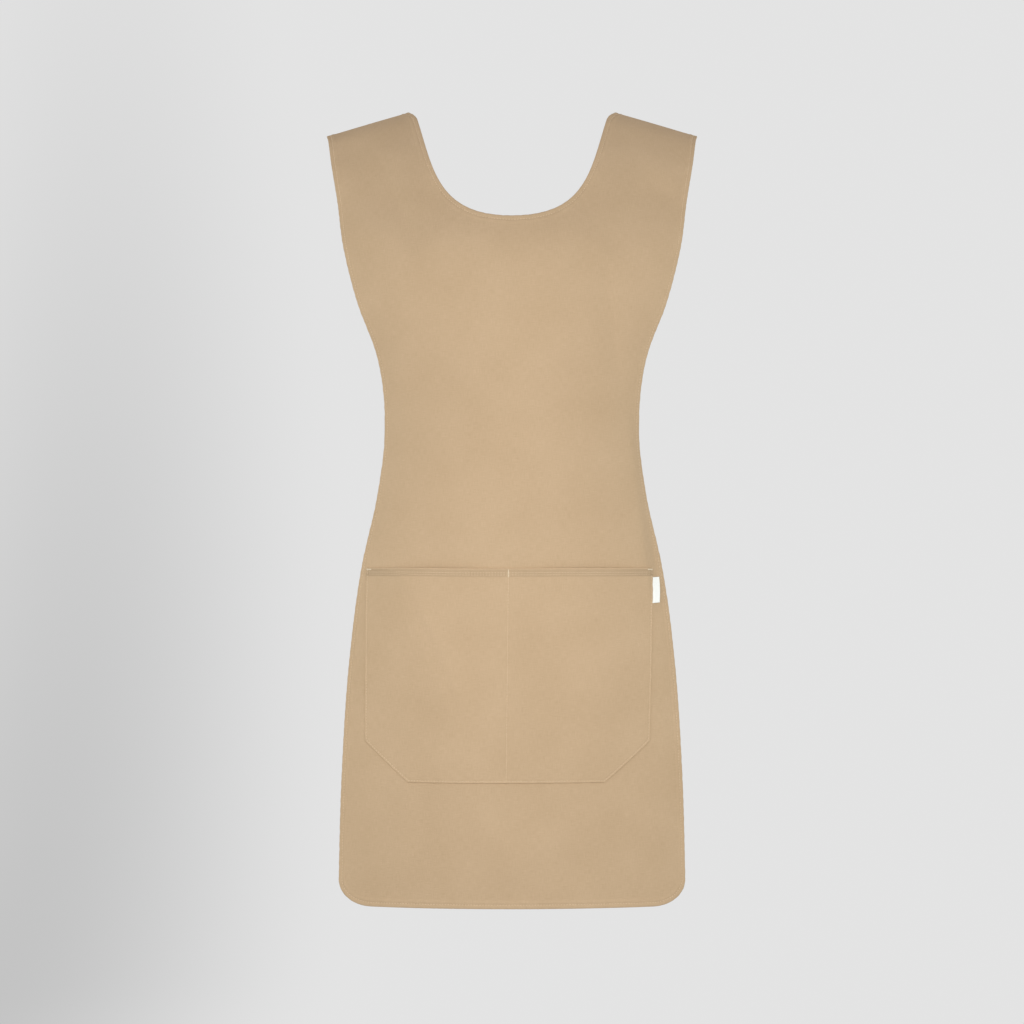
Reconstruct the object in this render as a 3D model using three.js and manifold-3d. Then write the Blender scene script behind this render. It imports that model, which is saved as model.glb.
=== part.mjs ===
// A cobbler apron in the form that it has when worn: a front panel and a back panel of plain work cloth,
// joined over the shoulders, drawn in at the waist by a strap at each side, with narrow turned hems round
// every edge, a wide patch pocket sewn into two compartments, and a small white tab at the pocket's side.
//
// Millimetres, +Z up. The front faces -Y and the wearer's left is +X. The origin lies midway between the
// shoulders, at the height where the underside of each strap's middle rests on its shoulder.
//
// The cloth is one curved sheet. A place on it is given by "across", from -1 at the right edge to 1 at the
// left edge, and "along", the distance in millimetres down the sheet from the shoulder's ridge, positive down
// the front and negative down the back.

import * as THREE from "three";
import { mergeVertices } from "three/addons/utils/BufferGeometryUtils.js";
import Module from "manifold-3d";

const wasm = await Module();
wasm.setup();

// Driving dimensions of the body
const APRON_LENGTH = 832; // height from the shoulder's ridge at the neck to the hem
const WAIST_FALL = 337; // height from the same ridge to the waist
const SHOULDER_SPAN = 391;
const WAIST_WIDTH = 265;
const HEM_WIDTH = 362;
const FRONT_DEPTH = 134; // shoulder ridge to the fullest part of the chest
const BACK_DEPTH = 98; // shoulder ridge to the shoulder blades
const SHOULDER_SLOPE = 17.5; // degrees
const SLOPE_EASE = 60; // radius that rounds the slope off at the middle of the neck

// Cloth, hems and seams
const CLOTH = 1.2;
const HEM_TURN = 8; // width of the turned hem
const HEM_WALL = 1;
const HEM_START = 2; // least height of a hem's cell where the corner is steepest
const PIECE_GAP = 0.3; // between neighbouring pieces
const SEAM_FORWARD = 6; // shoulder seam in front of the ridge
const SEAM_ALLOWANCE = 8;
const HEM_CORNER_ACROSS = 40; // round lower corners of both panels
const HEM_CORNER_UP = 27;

// Neck, as cut in the front view
const NECK_WIDTH = 206; // at the shoulder's ridge, before the corners there are rounded off
const NECK_ROUND_ACROSS = 16;
const NECK_ROUND_DOWN = 12.6;
const FRONT_NECK_DROP = 118; // from the shoulder's ridge to the neck's lowest point
const BACK_NECK_DROP = 107;

// Pocket
const POCKET_FALL = 481; // height from the shoulder's ridge to the pocket's mouth
const POCKET_WIDTH = 321; // of its mouth, along the cloth
const POCKET_FOOT_WIDTH = 305; // the same at its foot, without the cut-off corners
const POCKET_HEIGHT = 221;
const POCKET_SHIFT = -3; // middle of its mouth, beside the apron's middle
const POCKET_LEAN = -2.5; // how much further over its foot lies
const POCKET_WALL = 1;
const POCKET_HEM = 8; // height of the folded mouth
const POCKET_HEM_WALL = 0.8; // how far the fold stands proud
const POCKET_EASE = 13; // how far each mouth stands open
const POCKET_CHAMFER_ACROSS = 49;
const POCKET_CHAMFER_UP = 42;

// Side label
const LABEL_WIDTH = 9;
const LABEL_LENGTH = 28;
const LABEL_WALL = 1;
const LABEL_DROP = 10; // below the pocket's mouth
const LABEL_LIFT = 2; // of its free edge

// Side straps
const STRAP_WIDTH = 32;
const STRAP_WALL = 1.5;
const STRAP_LAP = 26; // sewn to each panel

// Folds
const FOLD_WIDTH = 40;
const FOLD_RISE = 5;

// Cross-sections of the sheet, from the shoulder's ridge to the hem.
// Height: bodice is a share of WAIST_FALL and skirt a share of the rest of the length.
// Width: shoulder and hem are shares of what SHOULDER_SPAN and HEM_WIDTH add to WAIST_WIDTH.
// Depth: out at the middle and side at the edges are shares of FRONT_DEPTH or BACK_DEPTH.
// turn is the angle of the arc between middle and edge, and tilt the share of the shoulder's slope.
const RIDGE = { bodice: 0, skirt: 0, shoulder: 1, hem: 0, out: 0, side: 0, turn: 20, tilt: 1 };
const FRONT_SECTIONS = [
  { bodice: 0.018, skirt: 0, shoulder: 0.969, hem: 0, out: 0.17, side: 0.11, turn: 24, tilt: 1 },
  { bodice: 0.107, skirt: 0, shoulder: 0.905, hem: 0, out: 0.45, side: 0.28, turn: 30, tilt: 0.85 },
  { bodice: 0.267, skirt: 0, shoulder: 0.786, hem: 0, out: 0.755, side: 0.42, turn: 38, tilt: 0.45 },
  { bodice: 0.445, skirt: 0, shoulder: 0.666, hem: 0, out: 0.985, side: 0.55, turn: 48, tilt: 0.1 },
  { bodice: 0.608, skirt: 0, shoulder: 0.45, hem: 0, out: 1, side: 0.57, turn: 54, tilt: 0 },
  { bodice: 0.777, skirt: 0, shoulder: 0.123, hem: 0, out: 0.925, side: 0.49, turn: 58, tilt: 0 },
  { bodice: 1, skirt: 0, shoulder: 0, hem: 0, out: 0.85, side: 0.42, turn: 60, tilt: 0 },
  { bodice: 1, skirt: 0.136, shoulder: 0, hem: 0.157, out: 0.843, side: 0.42, turn: 62, tilt: 0 },
  { bodice: 1, skirt: 0.287, shoulder: 0, hem: 0.495, out: 0.88, side: 0.43, turn: 62, tilt: 0 },
  { bodice: 1, skirt: 0.487, shoulder: 0, hem: 0.763, out: 0.903, side: 0.45, turn: 58, tilt: 0 },
  { bodice: 1, skirt: 0.727, shoulder: 0, hem: 0.925, out: 0.88, side: 0.465, turn: 54, tilt: 0 },
  { bodice: 1, skirt: 1, shoulder: 0, hem: 1, out: 0.843, side: 0.48, turn: 50, tilt: 0 },
];
const BACK_SECTIONS = [
  { bodice: 0.02, skirt: 0, shoulder: 0.962, hem: 0, out: 0.22, side: 0.15, turn: 24, tilt: 1 },
  { bodice: 0.107, skirt: 0, shoulder: 0.885, hem: 0, out: 0.56, side: 0.38, turn: 30, tilt: 0.85 },
  { bodice: 0.267, skirt: 0, shoulder: 0.76, hem: 0, out: 0.87, side: 0.52, turn: 36, tilt: 0.45 },
  { bodice: 0.445, skirt: 0, shoulder: 0.64, hem: 0, out: 1, side: 0.6, turn: 42, tilt: 0.1 },
  { bodice: 0.608, skirt: 0, shoulder: 0.42, hem: 0, out: 0.99, side: 0.58, turn: 48, tilt: 0 },
  { bodice: 0.777, skirt: 0, shoulder: 0.1, hem: 0, out: 0.9, side: 0.5, turn: 54, tilt: 0 },
  { bodice: 1, skirt: 0, shoulder: -0.03, hem: 0, out: 0.84, side: 0.44, turn: 58, tilt: 0 },
  { bodice: 1, skirt: 0.136, shoulder: 0, hem: 0.12, out: 0.9, side: 0.46, turn: 60, tilt: 0 },
  { bodice: 1, skirt: 0.287, shoulder: 0, hem: 0.45, out: 1.02, side: 0.5, turn: 60, tilt: 0 },
  { bodice: 1, skirt: 0.487, shoulder: 0, hem: 0.72, out: 1.07, side: 0.54, turn: 58, tilt: 0 },
  { bodice: 1, skirt: 0.727, shoulder: 0, hem: 0.88, out: 1.03, side: 0.55, turn: 54, tilt: 0 },
  { bodice: 1, skirt: 1, shoulder: 0, hem: 0.95, out: 0.98, side: 0.56, turn: 50, tilt: 0 },
];

// Soft folds seen on the front. Each runs straight between two places, given as shares of half the
// SHOULDER_SPAN across and of APRON_LENGTH down. width is a share of FOLD_WIDTH and rise of FOLD_RISE.
// A fold is a rounded ridge, or a valley where rise is negative. A tuck turns back all that lies beyond it.
const FRONT_FOLDS = [
  { across: [-0.9, -0.5], down: [0.04, 0.17], width: 0.55, rise: -0.7, tuck: false },
  { across: [0.82, 0.5], down: [0.1, 0.18], width: 0.6, rise: -0.5, tuck: false },
  { across: [0.47, 0.55], down: [0.19, 0.34], width: 0.3, rise: -0.25, tuck: false },
  { across: [-0.6, -0.22], down: [0.57, 0.78], width: 0.6, rise: 0.45, tuck: false },
  { across: [0.05, 0.3], down: [0.66, 0.8], width: 0.7, rise: -0.3, tuck: false },
  { across: [-0.35, 0.05], down: [0.8, 0.96], width: 1.2, rise: 0.5, tuck: false },
  { across: [0.62, 0.73], down: [0.4, 0.62], width: 0.3, rise: -2, tuck: true },
];

// How finely the sheet is faceted
const HALF_COLUMNS = 11; // from the middle to the side hem
const NECK_STEPS = 20;
const NECK_CROWDING = 1.3; // above 1 crowds the steps towards the shoulder
const FRONT_ROWS = 24;
const BACK_ROWS = 19;
const ROW_CROWDING = 1.25; // above 1 crowds the rows towards the shoulder
const HEM_COLUMN = 0.94; // the grid's own column for the inner edge of the side hems
const POCKET_COLUMNS = [0, 0.05, 0.2, 0.38, 0.56, 0.74, 0.9, 1]; // shares of half its width
const POCKET_ROWS = [0.14, 0.28, 0.43, 0.58, 0.73, 0.87, 0.96, 1]; // shares of its height
const ARC_STEPS = 24;
const NUDGE = 1e-3; // share of the width between two points that give a direction
const STEP = 0.5; // the same, along the cloth

const radians = THREE.MathUtils.degToRad;
const lerp = THREE.MathUtils.lerp;
const clamp = THREE.MathUtils.clamp;
const smooth = (x) => THREE.MathUtils.smoothstep(x, 0, 1);

// The table of sections in real sizes, from the back's hem over the ridge to the front's hem
const SECTION_SIZES = ["fall", "width", "out", "side", "turn", "tilt"];

function sectionOf(row, depth) {
  const wider = row.shoulder * (SHOULDER_SPAN - WAIST_WIDTH) + row.hem * (HEM_WIDTH - WAIST_WIDTH);
  return {
    fall: row.bodice * WAIST_FALL + row.skirt * (APRON_LENGTH - WAIST_FALL),
    width: (WAIST_WIDTH + wider) / 2,
    out: row.out * depth,
    side: row.side * depth,
    turn: radians(row.turn),
    tilt: row.tilt * Math.tan(radians(SHOULDER_SLOPE)),
  };
}

function sheetSections() {
  const back = BACK_SECTIONS.map((row) => sectionOf(row, BACK_DEPTH)).reverse();
  const front = FRONT_SECTIONS.map((row) => sectionOf(row, -FRONT_DEPTH));
  const rows = [...back, sectionOf(RIDGE, 0), ...front];
  const chord = (a, b) => Math.hypot(a.fall - b.fall, a.out - b.out);
  let along = 0;
  rows.forEach((row, k) => {
    along += k ? chord(rows[k - 1], row) : 0;
    row.along = along;
  });
  const ridge = rows[back.length].along;
  for (const row of rows) row.along -= ridge;
  rows.forEach((row, k) => {
    const before = rows[Math.max(k - 1, 0)];
    const after = rows[Math.min(k + 1, rows.length - 1)];
    const [near, far] = [row.along - before.along, after.along - row.along];
    row.rate = {};
    for (const size of SECTION_SIZES) {
      const slopeBefore = near ? (row[size] - before[size]) / near : 0;
      const slopeAfter = far ? (after[size] - row[size]) / far : 0;
      const between = (slopeBefore * far + slopeAfter * near) / (near + far);
      row.rate[size] = near && far ? between : slopeBefore + slopeAfter;
    }
  });
  return rows;
}

const SECTIONS = sheetSections();
const FRONT_END = SECTIONS.at(-1).along;
const BACK_END = SECTIONS[0].along;

// The section at a distance along the cloth, by cubic interpolation down the table
function sectionAt(along) {
  let k = 0;
  while (k < SECTIONS.length - 2 && along > SECTIONS[k + 1].along) k += 1;
  const [a, b] = [SECTIONS[k], SECTIONS[k + 1]];
  const span = b.along - a.along;
  const f = (along - a.along) / span;
  const section = {};
  for (const size of SECTION_SIZES) {
    section[size] =
      a[size] * (1 + 2 * f) * (1 - f) ** 2 +
      b[size] * f * f * (3 - 2 * f) +
      a.rate[size] * span * f * (1 - f) ** 2 -
      b.rate[size] * span * f * f * (1 - f);
  }
  return section;
}

// The distance along the cloth at which its middle has come down by a height, on the front or the back
function alongAtFall(fall, face) {
  let [near, far] = [0, face > 0 ? FRONT_END : BACK_END];
  for (let k = 0; k < 40; k += 1) {
    const middle = (near + far) / 2;
    if (sectionAt(middle).fall < fall) near = middle;
    else far = middle;
  }
  return far;
}

// The shoulder's slope, rounded off at the middle, and the height that puts the origin under the straps
const sloped = (x) => Math.hypot(x, SLOPE_EASE) - Math.hypot(NECK_WIDTH / 2, SLOPE_EASE);
const STRAP_MIDDLE = (NECK_WIDTH + SHOULDER_SPAN) / 4;
const LIFT = Math.tan(radians(SHOULDER_SLOPE)) * sloped(STRAP_MIDDLE) + CLOTH + PIECE_GAP + HEM_WALL;

// How far the front's folds push the cloth out at a place in the front view
function foldRise(x, fall) {
  let rise = 0;
  for (const fold of FRONT_FOLDS) {
    const [x0, x1] = fold.across.map((share) => (share * SHOULDER_SPAN) / 2);
    const [z0, z1] = fold.down.map((share) => share * APRON_LENGTH);
    const length = Math.hypot(x1 - x0, z1 - z0);
    const [ux, uz] = [(x1 - x0) / length, (z1 - z0) / length];
    const past = ((x - x0) * ux + (fall - z0) * uz) / length;
    const beside = ((x - x0) * uz - (fall - z0) * ux) / (fold.width * FOLD_WIDTH);
    const fade = smooth(past * 4 + 0.5) * smooth((1 - past) * 4 + 0.5);
    rise += fold.rise * FOLD_RISE * fade * (fold.tuck ? smooth(beside) : Math.exp(-beside * beside));
  }
  return rise;
}

// A point on the outer face of the sheet
function clothPoint(across, along) {
  const section = sectionAt(along);
  const angle = Math.abs(across) * section.turn;
  const x = (Math.sign(across) * section.width * Math.sin(angle)) / Math.sin(section.turn);
  const bend = (1 - Math.cos(angle)) / (1 - Math.cos(section.turn));
  const fall = section.fall + section.tilt * sloped(x);
  const fold = along > 0 ? foldRise(x, fall) : 0;
  return new THREE.Vector3(x, lerp(section.out, section.side, bend) - fold, LIFT - fall);
}

// The way the cloth faces there, outwards
function clothNormal(across, along) {
  const down = clothPoint(across, along + STEP).sub(clothPoint(across, along - STEP));
  const over = clothPoint(across + NUDGE, along).sub(clothPoint(across - NUDGE, along));
  return down.cross(over).normalize();
}

const clothPlace = (across, along) => ({
  point: clothPoint(across, along),
  normal: clothNormal(across, along),
});

// Millimetres of cloth for one unit of "across", at the side edge
function edgeScale(along) {
  return clothPoint(1, along).distanceTo(clothPoint(1 - NUDGE, along)) / NUDGE;
}

// "across" at a distance sideways over the cloth from its middle
function acrossAt(distance, along) {
  const side = Math.sign(distance);
  let [far, last] = [0, clothPoint(0, along)];
  for (let k = 1; ; k += 1) {
    const next = clothPoint((side * k) / ARC_STEPS, along);
    const piece = next.distanceTo(last);
    if (far + piece >= Math.abs(distance) || k > ARC_STEPS + 2) {
      return (side * (k - 1 + (Math.abs(distance) - far) / piece)) / ARC_STEPS;
    }
    far += piece;
    last = next;
  }
}

// "across" for a column of the grid, whose column HEM_COLUMN keeps to the side hem's inner edge
function columnAcross(column, along) {
  const inner = 1 - HEM_TURN / edgeScale(along);
  const size = Math.abs(column);
  const across =
    size < HEM_COLUMN
      ? (size / HEM_COLUMN) * inner
      : lerp(inner, 1, (size - HEM_COLUMN) / (1 - HEM_COLUMN));
  return Math.sign(column) * across;
}

// The neck's edge in the front view, from the shoulder seam to its lowest point: half width against the
// height below the shoulder's ridge. The control points are shares of half NECK_WIDTH and of the drop.
const NECK_SHAPES = {
  front: [new THREE.Vector2(0.8, 0.5), new THREE.Vector2(0.8, 1)],
  back: [new THREE.Vector2(0.9, 0.5), new THREE.Vector2(0.86, 1)],
};

function neckCurve(name, drop) {
  const real = (share) => new THREE.Vector2((share.x * NECK_WIDTH) / 2, share.y * drop);
  const [first, second] = NECK_SHAPES[name].map(real);
  return new THREE.CubicBezierCurve(
    new THREE.Vector2(NECK_WIDTH / 2, 0),
    first,
    second,
    new THREE.Vector2(0, drop),
  );
}

// What the neck takes out of the cloth, widened by an inset: its outline carried through from front to back
function neckCutter(curve, inset) {
  const edge = [];
  for (let k = 0; k <= NECK_STEPS; k += 1) {
    const share = (k / NECK_STEPS) ** NECK_CROWDING;
    const tangent = curve.getTangent(share);
    const outwards = new THREE.Vector2(tangent.y, -tangent.x).multiplyScalar(inset);
    const place = curve.getPoint(share).add(outwards);
    place.x += NECK_ROUND_ACROSS * Math.max(0, 1 - place.y / NECK_ROUND_DOWN) ** 2;
    edge.push(place);
  }
  const half = edge.map(({ x, y }) => new THREE.Vector2(x, LIFT - y));
  const above = new THREE.Vector2(half[0].x, half[0].y + NECK_WIDTH);
  const left = [above, ...half];
  const right = left.slice(0, -1).reverse().map(({ x, y }) => new THREE.Vector2(-x, y));
  const depth = 2 * (FRONT_DEPTH + BACK_DEPTH);
  const shape = new THREE.Shape([...left, ...right]);
  const geometry = new THREE.ExtrudeGeometry(shape, { depth, bevelEnabled: false });
  return geometry.translate(0, 0, -depth / 2).rotateX(Math.PI / 2);
}

// How far a panel's lower edge, or its inset, stops short of the hem line down a column
function cornerRise(panel, column, inset) {
  const across = Math.abs(columnAcross(column, panel.end));
  const fromEdge = (1 - across) * edgeScale(panel.end);
  const [wide, high] = [HEM_CORNER_ACROSS - inset, HEM_CORNER_UP - inset];
  const into = clamp((HEM_CORNER_ACROSS - fromEdge) / wide, 0, 1);
  return HEM_CORNER_UP - high * Math.sqrt(1 - into * into);
}

// The places of a panel's grid: rows from its top edge to its hem, columns from right to left.
// The second row and the last but one keep to the inner edges of the hems.
function panelGrid(name, face, drop, end, rowCount) {
  const seam = SEAM_FORWARD + (face * PIECE_GAP) / 2;
  const panel = { face, seam, end, neck: neckCurve(name, drop) };
  const half = [];
  for (let k = 1; k <= HALF_COLUMNS; k += 1) half.push((HEM_COLUMN * k) / HALF_COLUMNS);
  half.push(1);
  panel.columns = [...half.map((c) => -c).reverse(), 0, ...half];
  panel.middle = half.length;
  panel.lastRow = rowCount + 2;
  const perColumn = panel.columns.map((column) => {
    const length = Math.abs(end - seam);
    const bottom = length - cornerRise(panel, column, 0);
    const bottomHem = Math.min(length - cornerRise(panel, column, HEM_TURN), bottom - HEM_START);
    const reaches = [0];
    for (let k = 0; k <= rowCount; k += 1) {
      reaches.push(lerp(SEAM_ALLOWANCE, bottomHem, (k / rowCount) ** ROW_CROWDING));
    }
    reaches.push(bottom);
    return reaches.map((reach) => {
      const along = seam + face * reach;
      return clothPlace(columnAcross(column, along), along);
    });
  });
  panel.rows = perColumn[0].map((_, row) => perColumn.map((places) => places[row]));
  return panel;
}

// A place between the grid's own, on its edges
function gridPlace(grid, row, column) {
  const r = Math.min(Math.floor(row), grid.length - 2);
  const c = Math.min(Math.floor(column), grid[0].length - 2);
  const mix = (a, b, f) => ({
    point: a.point.clone().lerp(b.point, f),
    normal: a.normal.clone().lerp(b.normal, f),
  });
  const upper = mix(grid[r][c], grid[r][c + 1], column - c);
  const lower = mix(grid[r + 1][c], grid[r + 1][c + 1], column - c);
  return mix(upper, lower, row - r);
}

// The part of a grid between two rows and two columns, drawn in by the gap between pieces at the sides that
// meet a neighbour
function gridPatch(grid, rows, columns, meets) {
  const listed = ([from, to], size, drawn) => {
    const places = [];
    for (let k = from; k <= to; k += 1) places.push(k);
    const last = places.length - 1;
    if (drawn[0]) places[0] += PIECE_GAP / size(from, from + 1);
    if (drawn[1]) places[last] -= PIECE_GAP / size(to - 1, to);
    return places;
  };
  const high = (a, b) => grid[a][columns[0]].point.distanceTo(grid[b][columns[0]].point);
  const wide = (a, b) => grid[rows[1]][a].point.distanceTo(grid[rows[1]][b].point);
  const rowPlaces = listed(rows, high, meets.rows);
  const columnPlaces = listed(columns, wide, meets.columns);
  return rowPlaces.map((row) => columnPlaces.map((column) => gridPlace(grid, row, column)));
}

// A closed wall over a grid, between two distances out from it; each distance is a number or a function
// of row and column. face is -1 where the rows run up the sheet's own direction.
function gridWall(grid, inside, outside, face) {
  const distance = (value, row, column) => (typeof value === "function" ? value(row, column) : value);
  const [rowCount, columnCount] = [grid.length, grid[0].length];
  const positions = [];
  for (const value of [outside, inside]) {
    grid.forEach((places, row) =>
      places.forEach(({ point, normal }, column) =>
        positions.push(...point.clone().addScaledVector(normal, distance(value, row, column))),
      ),
    );
  }
  const outer = (row, column) => row * columnCount + column;
  const inner = (row, column) => rowCount * columnCount + outer(row, column);
  const faces = [];
  const quad = (a, b, c, d) => faces.push(...(face > 0 ? [a, b, c, a, c, d] : [a, c, b, a, d, c]));
  for (let r = 0; r < rowCount - 1; r += 1) {
    for (let c = 0; c < columnCount - 1; c += 1) {
      quad(outer(r, c), outer(r + 1, c), outer(r + 1, c + 1), outer(r, c + 1));
      // The inner face is split along the same diagonal, so that the wall keeps its thickness
      quad(inner(r, c), inner(r, c + 1), inner(r + 1, c + 1), inner(r + 1, c));
    }
    quad(outer(r, 0), inner(r, 0), inner(r + 1, 0), outer(r + 1, 0));
    const c = columnCount - 1;
    quad(outer(r, c), outer(r + 1, c), inner(r + 1, c), inner(r, c));
  }
  for (let c = 0; c < columnCount - 1; c += 1) {
    quad(outer(0, c), outer(0, c + 1), inner(0, c + 1), inner(0, c));
    const r = rowCount - 1;
    quad(outer(r, c), inner(r, c), inner(r, c + 1), outer(r, c + 1));
  }
  const geometry = new THREE.BufferGeometry();
  geometry.setAttribute("position", new THREE.Float32BufferAttribute(positions, 3));
  geometry.setIndex(faces);
  return geometry;
}

function solidOf(geometry) {
  const bare = new THREE.BufferGeometry();
  bare.setAttribute("position", geometry.getAttribute("position"));
  bare.setIndex(geometry.index);
  const merged = mergeVertices(bare, 1e-4);
  return new wasm.Manifold(
    new wasm.Mesh({
      numProp: 3,
      vertProperties: merged.attributes.position.array,
      triVerts: new Uint32Array(merged.index.array),
    }),
  );
}

function geometryOf(solid) {
  const mesh = solid.getMesh();
  const geometry = new THREE.BufferGeometry();
  geometry.setAttribute("position", new THREE.BufferAttribute(new Float32Array(mesh.vertProperties), 3));
  geometry.setIndex(new THREE.BufferAttribute(new Uint32Array(mesh.triVerts), 1));
  return geometry;
}

// A piece trimmed to lie clear of other shapes
function trimmed(geometry, clearances) {
  return geometryOf(clearances.reduce((solid, other) => solid.subtract(solidOf(other)), solidOf(geometry)));
}

// The part of a piece that lies inside a shape
function kept(geometry, inside) {
  return geometryOf(solidOf(geometry).intersect(solidOf(inside)));
}

// Panels and the hems behind their edges
const front = panelGrid("front", 1, FRONT_NECK_DROP, FRONT_END, FRONT_ROWS);
const back = panelGrid("back", -1, BACK_NECK_DROP, BACK_END, BACK_ROWS);
const HEM_OUTSIDE = -(CLOTH + PIECE_GAP);
const HEM_INSIDE = HEM_OUTSIDE - HEM_WALL;

const openEnds = [false, false];
const meetsNone = { rows: openEnds, columns: openEnds };

function panelWall(panel) {
  return trimmed(gridWall(panel.rows, -CLOTH, 0, panel.face), [neckCutter(panel.neck, 0)]);
}

function hemWall(panel, rows, columns, meets) {
  const patch = gridPatch(panel.rows, rows, columns, meets);
  return gridWall(patch, HEM_INSIDE, HEM_OUTSIDE, panel.face);
}

function neckHem(panel) {
  const lastColumn = panel.columns.length - 1;
  const lining = hemWall(panel, [0, panel.lastRow - 1], [1, lastColumn - 1], meetsNone);
  return trimmed(kept(lining, neckCutter(panel.neck, HEM_TURN)), [neckCutter(panel.neck, 0)]);
}

function panelHems(panel) {
  const { lastRow } = panel;
  const lastColumn = panel.columns.length - 1;
  const sideMeets = { rows: [false, true], columns: openEnds };
  return {
    neck_hem: neckHem(panel),
    right_hem: hemWall(panel, [0, lastRow - 1], [0, 1], sideMeets),
    left_hem: hemWall(panel, [0, lastRow - 1], [lastColumn - 1, lastColumn], sideMeets),
    bottom_hem: hemWall(panel, [lastRow - 1, lastRow], [0, lastColumn], meetsNone),
  };
}

// The felled allowance under a shoulder, between the neck hem and the side hem
function shoulderSeam(side) {
  const sideHem = side > 0 ? front.columns.length - 2 : 1;
  const columns = [front.middle, sideHem].sort((a, b) => a - b);
  const meets = { rows: openEnds, columns: [side < 0, side > 0] };
  const frontRows = gridPatch(front.rows, [0, 1], columns, meets);
  const backRows = gridPatch(back.rows, [0, 1], columns, meets);
  const grid = [backRows[1], backRows[0], frontRows[0], frontRows[1]];
  const neckRooms = [front, back].map((panel) => neckCutter(panel.neck, HEM_TURN + PIECE_GAP));
  return trimmed(gridWall(grid, HEM_INSIDE, HEM_OUTSIDE, 1), neckRooms);
}

// A grid laid on the front by sideways and downwards distances over the cloth
function patchGrid(reaches, distances) {
  return reaches.map((reach, row) =>
    distances.map((distance, column) => {
      const along = typeof reach === "function" ? reach(column) : reach;
      const sideways = typeof distance === "function" ? distance(row, column) : distance;
      return clothPlace(acrossAt(sideways, along), along);
    }),
  );
}

const SEAT_SINK = 1; // how deep a sewn edge is drawn before the clearance trims it
const frontClearance = gridWall(front.rows, -3 * SEAT_SINK, PIECE_GAP, 1);
const POCKET_TOP = alongAtFall(POCKET_FALL, 1);

// How far sideways over the cloth the pocket's columns lie, at a share of its height
function pocketSideways(share, down) {
  return POCKET_SHIFT + POCKET_LEAN * down + (share * lerp(POCKET_WIDTH, POCKET_FOOT_WIDTH, down)) / 2;
}

// The pocket: seated on the front along its sides, foot and middle, and standing open at its two mouths
function pocketGeometry() {
  const shares = [...POCKET_COLUMNS.slice(1).map((c) => -c).reverse(), ...POCKET_COLUMNS];
  const hemFoot = POCKET_HEM / POCKET_HEIGHT;
  const rowShares = [0, hemFoot, hemFoot + POCKET_HEM_WALL / POCKET_HEIGHT, ...POCKET_ROWS];
  const flat = POCKET_FOOT_WIDTH / 2 - POCKET_CHAMFER_ACROSS;
  const footRise = (share) => {
    const into = (Math.abs(share) * POCKET_FOOT_WIDTH) / 2 - flat;
    return (Math.max(0, into) / POCKET_CHAMFER_ACROSS) * POCKET_CHAMFER_UP;
  };
  const depths = rowShares.map((down) => shares.map((share) => down * (POCKET_HEIGHT - footRise(share))));
  const grid = patchGrid(
    depths.map((row) => (column) => POCKET_TOP + row[column]),
    shares.map((share, k) => (row) => pocketSideways(share, depths[row][k] / POCKET_HEIGHT)),
  );
  const ease = (row, column) => {
    const bow = Math.sin(Math.PI * Math.abs(shares[column]));
    return POCKET_EASE * bow * (1 - rowShares[row] ** 2);
  };
  const lastRow = rowShares.length - 1;
  const sewn = (row, column) => row === lastRow || [0, 1].includes(Math.abs(shares[column]));
  const inside = (row, column) => (sewn(row, column) ? -SEAT_SINK : PIECE_GAP + ease(row, column));
  const outside = (row, column) => {
    return PIECE_GAP + ease(row, column) + POCKET_WALL + (row < 2 ? POCKET_HEM_WALL : 0);
  };
  return trimmed(gridWall(grid, inside, outside, 1), [frontClearance]);
}

// The label: a tab sewn in beside the pocket's left edge, its free edge lifting a little
function labelGeometry() {
  const thirds = [0, 0.5, 1];
  const grid = patchGrid(
    thirds.map((share) => POCKET_TOP + LABEL_DROP + share * LABEL_LENGTH),
    thirds.map((share) => (row) => {
      const down = (LABEL_DROP + thirds[row] * LABEL_LENGTH) / POCKET_HEIGHT;
      return pocketSideways(1, down) + PIECE_GAP + share * LABEL_WIDTH;
    }),
  );
  const lift = (column) => LABEL_LIFT * thirds[column] ** 2;
  const inside = (row, column) => (column ? PIECE_GAP + lift(column) : -SEAT_SINK);
  const outside = (row, column) => PIECE_GAP + lift(column) + LABEL_WALL;
  return trimmed(gridWall(grid, inside, outside, 1), [frontClearance]);
}

// The room that one side hem takes up, with the gap round its inner face
function sideHemRoom(panel, side) {
  const last = panel.columns.length - 1;
  const columns = side > 0 ? [last - 1, last] : [0, 1];
  const patch = gridPatch(panel.rows, [0, panel.lastRow], columns, meetsNone);
  return gridWall(patch, HEM_INSIDE - PIECE_GAP, 0, panel.face);
}

// A strap across one open side at the waist, lapped inside both panels
function sideStrap(side) {
  const laps = [1, 0.5, 0].map((share) => share * STRAP_LAP);
  const inwards = HEM_INSIDE - PIECE_GAP - STRAP_WALL;
  const heights = [-0.5, 0, 0.5].map((share) => share * STRAP_WIDTH);
  const onPanel = (panel, lap, height) => {
    const along = alongAtFall(WAIST_FALL + height, panel.face);
    const place = clothPlace(side * (1 - lap / edgeScale(along)), along);
    place.point.addScaledVector(place.normal, inwards);
    return place;
  };
  const grid = heights.map((height) => {
    const frontLap = laps.map((lap) => onPanel(front, lap, height));
    const backLap = laps.map((lap) => onPanel(back, lap, height)).reverse();
    return [...frontLap, ...backLap];
  });
  return trimmed(gridWall(grid, 0, STRAP_WALL, side), [sideHemRoom(front, side), sideHemRoom(back, side)]);
}

// Materials
const beigeCloth = new THREE.MeshStandardMaterial({ color: 0xc9a981, roughness: 0.9, metalness: 0 });
const hemCloth = new THREE.MeshStandardMaterial({ color: 0xc3a37b, roughness: 0.9, metalness: 0 });
const whiteTape = new THREE.MeshStandardMaterial({ color: 0xf6f3ee, roughness: 0.8, metalness: 0 });

const apron = new THREE.Group();
apron.name = "cobbler_apron";

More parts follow.
